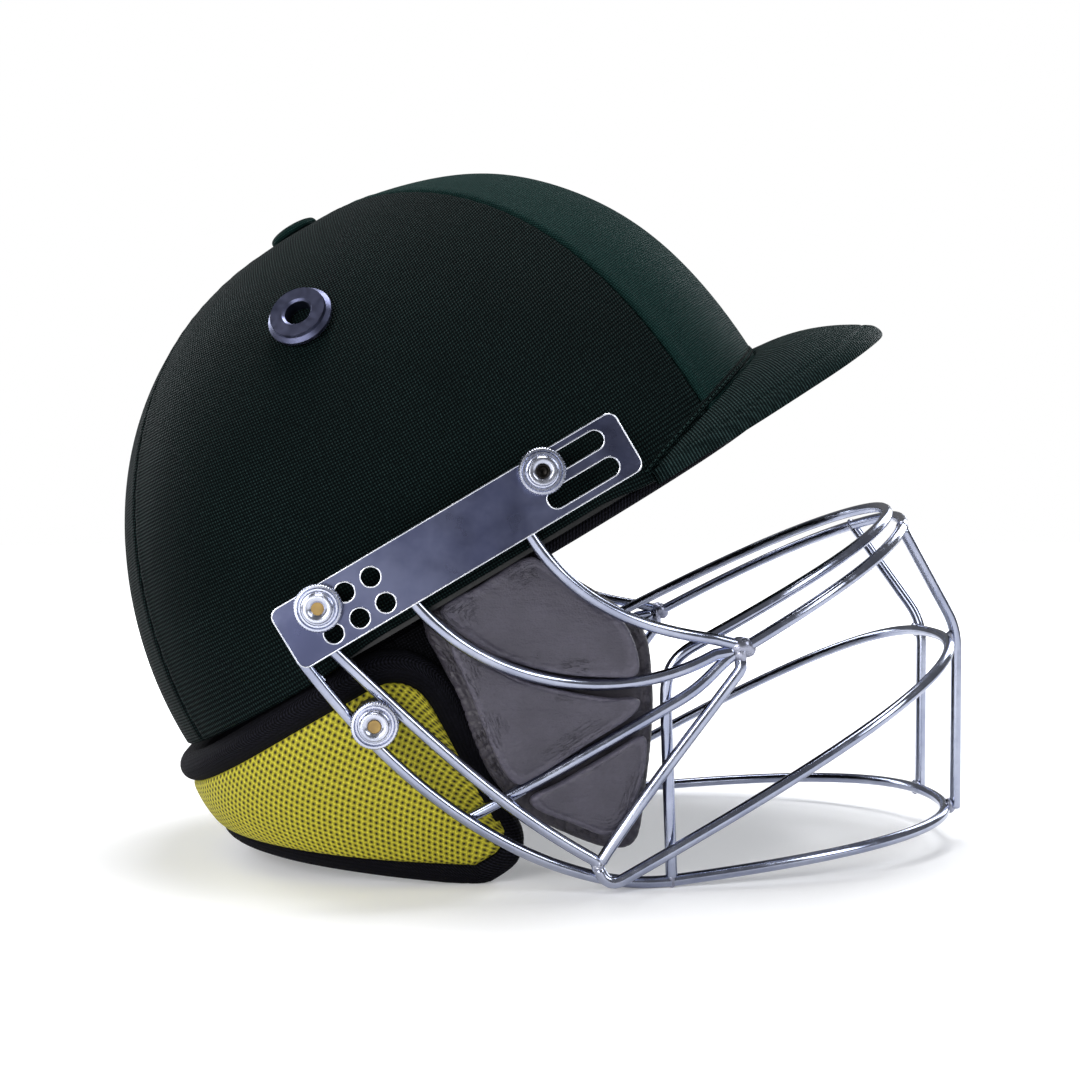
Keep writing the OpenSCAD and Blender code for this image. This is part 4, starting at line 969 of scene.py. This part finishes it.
wires = {"first_wire": (first_wire(), "first_ring"), "second_wire": (second_wire(), "second_ring"),
         "middle_wire": (middle_wire(), "middle_ring"), "chin_wire": (chin_wire(), "chin_ring")}
for wire, node, path in (("inner", "inner_loop", inner_wire()), ("upper", "upper_rod", upper_wire),
                         ("pad", "pad_rod", pad_wire), ("lower", "lower_rod", lower_wire)):
    wires[wire + "_wire_right"] = (path, node + "_right")
    wires[wire + "_wire_left"] = (mirrored(path), node + "_left")
for name, (path, node) in wires.items():
    make_piece(name, *leaned(tube_parts(path, WIRE_R)), wire_steel, "wire_steel", stands_for=(node,))
bar = bar_wire()
bars = {"bar_left": bar, "bar_right": mirrored(bar)}
bar_parts = leaned(joined([tube_parts(path, WIRE_R) for path in bars.values()]))
make_piece("bar_wires", *bar_parts, wire_steel, "wire_steel", stands_for=("front_bars",))


def weld_parts(a, b, size, seed):
    """A weld bead where two wires come closest: a lumpy ball stretched along the first wire."""
    gaps = np.linalg.norm(a[:, None] - b[None], axis=-1)
    i, j = np.unravel_index(gaps.argmin(), gaps.shape)
    middle = (a[i] + b[j]) / 2
    way = unit(a[min(i + 1, len(a) - 1)] - a[max(i - 1, 0)])
    other = unit(b[min(j + 1, len(b) - 1)] - b[max(j - 1, 0)])
    over = unit(a[i] - b[j])
    over = over - (over @ way) * way
    if np.linalg.norm(over) < 0.3:
        over = np.cross(way, other)
    over = unit(over)
    side = np.cross(way, over)
    az = np.linspace(0, math.tau, 28, endpoint=False)[:, None]
    el = np.linspace(-1.5, 1.5, 15)[None]
    x, y, z = np.cos(az) * np.cos(el), np.sin(az) * np.cos(el), np.sin(el) + 0 * az
    lump = 1 + 0.16 * ripple(4 * az, 5 * el, seed, 1.3)
    ball = lump[..., None] * (size * x[..., None] * way + 0.62 * size * y[..., None] * side
                              + 0.75 * size * z[..., None] * over)
    return with_poles(grid_parts(middle + ball, wrap_u=True), *lump.shape)


def weld_places():
    w = {k: evenly(v[0], 0.5) for k, v in wires.items()}
    w.update({k: evenly(v, 0.5) for k, v in bars.items()})
    half = {k: {s: v[v[:, 1] * s > 6] for s in (1, -1)} for k, v in w.items()}
    out = []
    for s, nm in ((-1, "right"), (1, "left")):
        bar_half = half["bar_" + nm][s]
        side = {k: w[k + "_wire_" + nm] for k in ("inner", "upper", "pad", "lower")}
        ring = {k: half[k + "_wire"][s] for k in ("first", "second", "middle", "chin")}
        out += [(bar_half, ring[k], 2.9) for k in ("second", "middle", "chin")]
        out += [(side["upper"][-4:], ring["second"], 4.6), (side["lower"][:4], ring["second"], 4.0),
                (side["inner"], ring["second"], 2.6),
                (side["inner"], ring["middle"], 2.9), (side["lower"], ring["middle"], 2.9),
                (ring["middle"], ring["chin"], 2.8), (ring["first"][-40:] if s > 0 else ring["first"][:40],
                                                      ring["chin"], 2.8)]
    return out


weld_beads = joined([weld_parts(a, b, size, k) for k, (a, b, size) in enumerate(weld_places())])
make_piece("welds", *leaned(weld_beads), weld_steel, "wire_steel")


# PLATES' BRIGHT EDGES: THIN ROUND BARS, THEIR NEAR-WHITE STEEL A PAINTED HIGHLIGHT
def rounded_box(x0, x1, z0, z1, r):
    """Outline of a box with round corners, as four quarter circles."""
    a = np.linspace(0, math.pi / 2, 10)
    middles = [(x1 - r, z1 - r), (x0 + r, z1 - r), (x0 + r, z0 + r), (x1 - r, z0 + r)]
    arcs = [np.stack([x + r * np.cos(a + k * math.pi / 2), z + r * np.sin(a + k * math.pi / 2)], 1)
            for k, (x, z) in enumerate(middles)]
    return np.concatenate(arcs)


def closed_tube(path, radius, sides=10, step=0.8):
    p = evenly(path, step, True)
    _, v, w = carried(p, True)
    a = np.linspace(0, math.tau, sides, endpoint=False)
    ring = np.cos(a)[None, :, None] * v[:, None] + np.sin(a)[None, :, None] * w[:, None]
    return grid_parts(p[:, None] + radius * ring, wrap_u=True, wrap_v=True)


def plate_edges(name, s):
    lines = [rounded_box(PLATE_REAR, PLATE_REAR + PLATE_L, PLATE_LOW, PLATE_LOW + PLATE_H, 3.0)]
    lines += [rounded_box(x - SLOT_L / 2, x + SLOT_L / 2, z - SLOT_W / 2, z + SLOT_W / 2, SLOT_W / 2 - 0.001)
              for x, z in SLOTS]
    lines += [rounded_box(x - HOLE_D / 2, x + HOLE_D / 2, z - HOLE_D / 2, z + HOLE_D / 2, HOLE_D / 2 - 0.001)
              for x, z in HOLES]
    parts = []
    for line in lines:
        path = np.stack([line[:, 0], np.full(len(line), -s * (PLATE_OUT - 0.12)), line[:, 1]], 1)
        parts.append(closed_tube(path, 0.28))
    make_piece(name, *leaned(joined(parts)), edge_highlight_steel, "plate_steel")


plate_edges("plate_edge_right", 1)
plate_edges("plate_edge_left", -1)


# THUMB NUTS
def nut(name, node, place, y, s):
    """A thumb nut: a knurled rim with fine teeth, a ring groove, and a raised boss with a chamfered bore."""
    prof = [(2.06, 0.0), (7.0, 0.0), (7.55, 0.5), (7.7, 0.75), (7.7, 3.1), (7.6, 3.4), (7.2, 3.8),
            (6.55, 3.85), (6.3, 3.6), (6.2, 2.9), (6.05, 2.75), (5.55, 2.75), (5.4, 2.9), (5.3, 4.3),
            (5.1, 4.6), (4.9, 4.65), (4.75, 4.8), (4.65, 5.8), (4.35, 6.15), (4.1, 6.2), (3.2, 6.2),
            (2.95, 6.1), (2.3, 5.4), (2.06, 5.2)]
    q = np.array(prof)
    tooth = np.array([0, 0, 0.4, 1, 1, 1, 0.4, 0] + [0] * (len(q) - 8))
    p = lathe_grid(q, 208, lambda a, k: 1 - 0.035 * tooth[k] * (0.5 + 0.5 * np.cos(52 * a)))
    p = np.stack([place[0] + p[..., 0], -s * (y + p[..., 2]), place[1] + p[..., 1]], -1)
    make_piece(name, *leaned(grid_parts(p, wrap_u=True, wrap_v=True)), nut_steel, "nut_steel", body=node,
               stands_for=(node,), crisp=38)


FRONT_NUT = (SLOT_X - (SLOT_L - SLOT_W) / 2, SLOTS[1][1])
REAR_NUT = HOLES[1]
CLAMP = (-81.0, -16.8)
CLAMP_Y = 103.067
for turn_s, turn_side in ((1, "right"), (-1, "left")):
    nut("front_thumb_nut_" + turn_side, "front_nut_" + turn_side, FRONT_NUT, PLATE_OUT + 0.1, turn_s)
    nut("rear_thumb_nut_" + turn_side, "rear_nut_" + turn_side, REAR_NUT, PLATE_OUT + 0.1, turn_s)
    nut("clamp_thumb_nut_" + turn_side, "clamp_nut_" + turn_side, CLAMP, CLAMP_Y, turn_s)


def deep_end(name, s):
    """The front screw's end, deep in its nut: a small cup with a rolled lip, in near-black steel that is
    painted shade of the deep bore.
    """
    p = lathe_grid([(0.02, 1.2), (1.2, 1.25), (1.55, 1.9), (1.8, 2.6), (2.02, 2.9), (2.04, 2.6), (2.04, 0.2),
                     (0.02, 0.2)], 40)
    y = PLATE_OUT + 0.1 + 6.2 * 0.45
    p = np.stack([FRONT_NUT[0] + p[..., 0], -s * (y + p[..., 2]), FRONT_NUT[1] + p[..., 1]], -1)
    make_piece(name, *leaned(grid_parts(p, wrap_u=True, wrap_v=True)), bore_shade_steel, "screw_brass")


deep_end("front_screw_end_right", 1)
deep_end("front_screw_end_left", -1)


# CHEEK PADS
def face_depth(z):
    return 99 + 0.11 * z


BASE_LINE = [[-47, 4.2], [-14, 4.2], [-6, -4], [6, -26], [9.6, -39], [4, -54], [-4, -68], [-17, -86],
             [-28, -99], [-37, -97], [-47, -85], [-56, -69.5], [-59, -54], [-58.2, -40], [-55.6, -26],
             [-53.8, -12], [-53, -1]]
UPPER_LINE = [[-45, 3], [-30, 3.8], [-13, 3.8], [-8, -2], [0, -20], [4.4, -31], [3.4, -42], [-0.5, -48.4],
              [-8, -45], [-22, -35], [-34, -23], [-41, -12]]
MIDDLE_LINE = [[-48, -8.6], [-43.6, -14], [-35, -28], [-23.6, -40.6], [-11.6, -51], [-4, -56], [-9, -59.6],
               [-26, -60], [-46, -60.4], [-53, -58.6], [-54, -48], [-50.6, -26]]
LOWER_LINE = [[-51, -65.6], [-40, -66.4], [-22, -66.8], [-9, -67.4], [-12, -75], [-20, -83.6],
              [-30, -91], [-36.4, -90], [-44, -80], [-51, -70.6]]


def pillow(name, node, line, back, face, finish, slot, s, seed, wrinkle):
    """A crowned pad on an outline. Rings run from the flat back's middle round the drawn-in side to the
    crown's middle: each is the outline drawn towards its middle, at a share of the pad's height. Wrinkles
    cross the edge and fade inwards, and a shallow fold runs inside it."""
    edge = evenly(spline(line, 14, True), 0.75, True)
    mid = edge.mean(0)
    a = np.linspace(0, math.pi / 2, 30)
    scale = np.concatenate([[0.02, 0.5, 0.86, 0.925, 0.955, 0.98, 0.995], np.cos(a[:-1]) ** 0.32, [0.02]])
    high = np.concatenate([[0, 0, 0, 0.02, 0.08, 0.2, 0.36], 0.45 + 0.55 * np.sin(a[:-1]) ** 0.42, [1.0]])
    q = mid + (edge - mid)[:, None] * scale[None, :, None]
    run = run_length(np.pad(edge, ((0, 0), (0, 1))), 0, False)[:, None]
    near = np.exp(-((scale - 0.93) / 0.09) ** 2)[None] * (high > 0.1)
    inner = np.exp(-((scale - 0.86) / 0.03) ** 2)[None] * (high > 0.6)
    cut = -np.exp(-(np.sin(run / 1.35 + 4 * ripple(run, 0 * run, seed, 9)) / 0.3) ** 2)
    fold = wrinkle * (near * (0.75 * cut + 0.45 * ripple(run, 0 * run, seed + 2, 1.6))
                      - inner * (0.55 + 0.45 * ripple(run, 0 * run, seed + 3, 5)))
    broad = 0.3 * wrinkle * ripple(q[..., 0], q[..., 1], seed + 4, 5) * (high > 0.9)
    y = back(q[..., 1]) + (face(q[..., 1]) - back(q[..., 1])) * high[None] + fold + broad
    y = np.minimum(y, face(q[..., 1]) + 0.1)
    p = np.stack([q[..., 0], -s * y, q[..., 1]], -1)
    v = np.broadcast_to(scale[None], run.shape[:1] + scale.shape)
    chart = np.stack([run + 0 * v, v], -1)
    chart = np.concatenate([chart, chart[:1] + [[[float(run[-1, 0]) + 0.75, 0]]]], 0)
    parts = with_poles(grid_parts(p, chart, wrap_u=True), len(edge), len(scale))
    obj = make_piece(name, *leaned(parts), finish, slot, stands_for=(node,))


def panel_back(z):
    return face_depth(z) - 7


def base_face(z):
    return face_depth(z) - 7.3


def base_back(z):
    return face_depth(z) - 21.3


CHEEK_PANELS = (("upper", UPPER_LINE, 41), ("middle", MIDDLE_LINE, 51), ("lower", LOWER_LINE, 61))
for s, side in ((1, "right"), (-1, "left")):
    pillow("cheek_board_" + side, "cheek_base_" + side, BASE_LINE, base_back, base_face, base_vinyl,
           "cheek_dark", s, 31, 1.1)
    for part, line, seed in CHEEK_PANELS:
        pillow(f"cheek_cushion_{part}_{side}", f"cheek_{part}_{side}", line, panel_back, face_depth,
               panel_vinyl, "cheek_vinyl", s, seed, 0.42)


# NECK GUARD
def guard_half_at(z):
    return GUARD_HALF - GUARD_TAPER * (RIM_Z - z) / 85


def guard_x(t, off=0.0):
    return GUARD_FRONT - (GUARD_REACH + off) * np.cos(np.radians(t))


def guard_point(t, z, off):
    """The guard's wall: a U in plan that narrows downwards, at an angle, a height and an offset outwards."""
    share = np.maximum(1 - np.cos(np.radians(t)) ** GUARD_POWER, 0) ** (1 / GUARD_POWER)
    y = (guard_half_at(z) + off) * np.sign(t) * share
    return np.stack(np.broadcast_arrays(guard_x(t, off), y, z), -1)


def guard_top(t):
    e = ease((GUARD_FRONT - 30 - guard_x(t)) / 60)
    return -2.4 + (-4.4 + 2.4) * e


def guard_low(t):
    back = guard_x(t) - GUARD_FRONT + GUARD_REACH
    return np.maximum(-GUARD_SLOPE * back, -GUARD_SLOPE * (GUARD_REACH - 16)) + GUARD_SHIFT


# Front edge of the guard's lining, along the rear of the cheek pad: z against x
LINING_FRONT = ([-90.0, -68, -54, -40, -26, -12, 6], [-60.0, -57.6, -58.6, -57.8, -54.9, -52.9, -51.0])


def guard_slab(name, node, out, into, crown, finish, slot, high, low, ahead):
    """A pad of the guard between two depths, with rounded edges and a fuller middle. Beyond the U's ends its
    columns step ahead by a share of the way to a front edge."""
    s = np.linspace(-1, 1, 281)
    t = 90 * np.sin(s * math.pi / 2) * 0.25 + 90 * s * 0.75
    t = np.where(np.abs(t) < 0.05, 0.05, t)[:, None]
    v = np.linspace(0, 1, 60)[None]
    step = np.zeros_like(t)
    if ahead:
        share = np.linspace(0, 1, 13)[:, None]
        t = np.vstack([-90 + 0 * share, t, 90 + 0 * share])
        step = np.vstack([share[::-1], step, share])
    z = high(t, step) + (low(t, step) - high(t, step)) * v
    i = np.linspace(0, 1, len(t))[:, None]
    puff = crown * (np.sin(math.pi * v) * np.sin(math.pi * i)) ** 0.6
    rim = np.minimum(np.minimum(v, 1 - v) * np.abs(high(t, step) - low(t, step)), np.minimum(i, 1 - i) * 260)
    draw = 1.3 * (1 - np.sqrt(1 - (1 - np.minimum(rim / 2.6, 1)) ** 2))
    fold = 0.35 * crown * ripple(t * 1.6, z, 71, 9)
    front = step * (np.interp(z, *LINING_FRONT) - GUARD_FRONT)
    sides = []
    for depth in (out + puff - draw + fold, into + draw):
        q = guard_point(t, z, depth)
        q[..., 0] += front
        sides.append(q)
    obj = make_piece(name, *leaned(slab_parts(*sides)), finish, slot, stands_for=(node,))


CORNER = 15.0


def mesh_high(t, step):
    """Upper edge of the mesh: under the roll, and round the corner in front."""
    back = GUARD_FRONT - guard_x(t)
    turn = CORNER - np.sqrt(CORNER ** 2 - (CORNER - np.minimum(back, CORNER)) ** 2)
    return guard_top(t) - 4.6 - turn


def mesh_low(t, step):
    near = np.maximum(0, 1 - (GUARD_FRONT - guard_x(t)) / GUARD_CORNER)
    return guard_low(t) + 3.6 + 6 * near ** 2


def lining_high(t, step):
    return guard_top(t) - 6.5 + 11.5 * ease((np.abs(t) + 10 * step - 62) / 24)


def lining_low(t, step):
    return mesh_low(t, step) + 2 + 24 * step


BEHIND = -MESH_T - GAP
guard_slab("guard_mesh", "neck_mesh", 0.0, -MESH_T, 1.2, yellow_mesh, "mesh_cloth", mesh_high, mesh_low,
           False)
guard_slab("guard_backing", "neck_backing", BEHIND, BEHIND - BACKING_T, 0.0, backing_cloth, "comfort_cloth",
           lining_high, lining_low, True)


def tapered(path, radius):
    """A round bar whose radius runs through given values at even shares of its length."""
    def scale(p, a):
        run = np.concatenate([[0], np.cumsum(np.linalg.norm(np.diff(p, axis=0), axis=1))])
        return np.interp(run / run[-1], np.linspace(0, 1, len(radius)), radius)[:, None] + 0 * a[None]
    return tube_parts(path, 1.0, 28, 1.3, scale)


def bound_edge():
    """The knitted roll runs along the rim, arches over the mesh's front corners and down to the lower ones.
    The bound edge runs on from there along the bottom, and is cut off level at the floor."""
    def wall(x, z, off):
        return np.stack([x, -(guard_half_at(z) + off), z], -1)

    top = float(guard_top(90.0))
    arch = spline([[-77, top], [-70.2, top - 1.3], [-64.2, top - 5.2], [-60.4, top - 11.2],
                   [-59.0, top - 18.2], [-59.6, top - 28], [-61.0, top - 40], [-62.2, top - 53],
                   [-62.9, top - 66]], 6)
    turn = math.degrees(math.acos(13.5 / GUARD_REACH))
    t = np.linspace(0.05, turn, 110)
    rim = guard_point(-t, guard_top(t), -ROLL_D / 4 - 0.4)
    down = wall(arch[:, 0], arch[:, 1], -ROLL_D / 4 - 0.4 + 0 * arch[:, 0])
    half = np.vstack([rim, down[1:]])
    half = np.vstack([mirrored(half)[::-1], half])
    roll = leaned(tapered(half, [4.4, 5.2, 5.7, 5.4, 5.3, 5.4, 5.3, 5.4, 5.7, 5.2, 4.4]))
    obj = make_piece("guard_roll", *roll, black_knit, "knit", stands_for=("neck_roll",))
    c, low = GUARD_CORNER, float(guard_low(90.0))
    k = np.linspace(0, 1, 8)
    edge = np.stack([GUARD_FRONT + 0.4 + 0 * k, low + c + 9 - 9 * k], 1)
    a = np.linspace(0, math.pi / 2, 14)[1:]
    arc = np.stack([GUARD_FRONT - c * (1 - np.cos(a)), low + c - c * np.sin(a)], 1)
    first = np.vstack([edge, arc])
    t = np.degrees(np.arccos(np.clip((GUARD_FRONT - first[:, 0]) / GUARD_REACH, 0, 1)))
    first = guard_point(-t, first[:, 1], -BINDING_D / 2)
    t2 = np.linspace(80, 0.05, 110)
    second = guard_point(-t2, guard_low(t2) + 0.5 * ease((80 - t2) / 30), -BINDING_D / 2)
    half = np.vstack([first, second])
    path = np.vstack([half, mirrored(half)[::-1]])
    radii = [4.6, 4.8, 4.5, 4.3, 4.3, 4.3, 4.3, 4.5, 4.8, 4.6]
    verts, faces, charts = leaned(tapered(spline(path[::3], 4), radii))
    verts[:, 2] = np.maximum(verts[:, 2], 0.0002)
    obj = make_piece("guard_binding", verts, faces, charts, black_knit, "knit", stands_for=("neck_binding",))


bound_edge()


# CAD PIECES THAT STAY, WITH THEIR OWN FINISH
def dress(finish, *names):
    for name in names:
        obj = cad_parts[name]
        if obj.material_slots:
            for place in obj.material_slots:
                place.material = finish.material
        else:
            obj.data.materials.append(finish.material)


dress(shell_plastic, "shell")
dress(vent_metal, "vent_right", "vent_left")
dress(plate_steel, "plate_right", "plate_left")
dress(screw_brass, "side_screws", "clamp_screws")
dress(rubber, "side_spacers", "clamp_washers")


# FLOOR, BACKDROP AND LIGHT
def studio():
    f = Finish("paper", (0.88, 0.88, 0.89), 0.9, Specular_IOR_Level=0.1)
    tree = f.tree
    ways = f.add("ShaderNodeLightPath")
    far = f.add("ShaderNodeVectorMath", operation="LENGTH")
    tree.links.new(f.add("ShaderNodeTexCoord").outputs["Object"], far.inputs[0])
    glow = f.add("ShaderNodeEmission")
    level = f.span(far.outputs["Value"], 0.16, 0.9, 0.16, 1.0)
    tree.links.new(f.sums("MULTIPLY", ways.outputs["Is Camera Ray"], level), glow.inputs["Strength"])
    both_shaders = f.add("ShaderNodeAddShader")
    tree.links.new(f.shader.outputs[0], both_shaders.inputs[0])
    tree.links.new(glow.outputs[0], both_shaders.inputs[1])
    out = next(n for n in tree.nodes if n.type == "OUTPUT_MATERIAL")
    tree.links.new(both_shaders.outputs[0], out.inputs["Surface"])
    x, y = np.meshgrid(np.linspace(-4, 4, 9), np.linspace(-4, 4, 9), indexing="ij")
    verts, faces, _ = grid_parts(np.stack([x, y, 0 * x], -1))
    mesh = bpy.data.meshes.new("floor")
    mesh.from_pydata(verts.tolist(), [], faces[0].tolist())
    mesh.materials.append(f.material)
    floor = bpy.data.objects.new("floor", mesh)
    bpy.context.scene.collection.objects.link(floor)
    world = bpy.data.worlds.new("room")
    bpy.context.scene.world = world
    world.use_nodes = True
    tree = world.node_tree
    back = next(n for n in tree.nodes if n.type == "BACKGROUND")
    back.inputs[0].default_value = (1.0, 1.0, 1.0, 1.0)
    path = tree.nodes.new("ShaderNodeLightPath")
    level = tree.nodes.new("ShaderNodeMapRange")
    tree.links.new(path.outputs["Is Camera Ray"], level.inputs["Value"])
    level.inputs["To Min"].default_value = 0.16
    level.inputs["To Max"].default_value = 1.0
    tree.links.new(level.outputs[0], back.inputs[1])


def lamp(name, place, aim_at, size, power, colour=(1.0, 1.0, 1.0)):
    data = bpy.data.lights.new(name, "AREA")
    data.shape = "RECTANGLE"
    data.size, data.size_y = size
    data.energy = power
    data.color = colour
    obj = bpy.data.objects.new(name, data)
    obj.location = place
    obj.rotation_euler = (Vector(aim_at) - Vector(place)).to_track_quat("-Z", "Y").to_euler()
    bpy.context.scene.collection.objects.link(obj)


studio()
lamp("overhead", (0.0, 0.1, 1.2), (0, 0, 0.05), (0.6, 0.6), 12.0)
lamp("left_front", (-0.85, -1.0, 0.55), (0, 0, 0.1), (0.55, 0.7), 11.0, (1.0, 0.99, 0.97))
lamp("right_front", (0.95, -0.75, 0.75), (0, 0, 0.1), (0.35, 0.8), 6.0, (0.93, 0.96, 1.0))
lamp("low_left", (-0.3, -1.0, 0.07), (-0.05, 0, 0.1), (0.28, 0.22), 1.0)
lamp("behind_left", (-0.9, 0.7, 0.6), (0, 0, 0.15), (0.5, 0.9), 9.0, (0.93, 0.96, 1.0))
lamp("behind_right", (0.9, 0.9, 0.6), (0, 0, 0.12), (0.5, 0.9), 8.0, (0.93, 0.96, 1.0))

bpy.context.scene.view_settings.view_transform = "Standard"
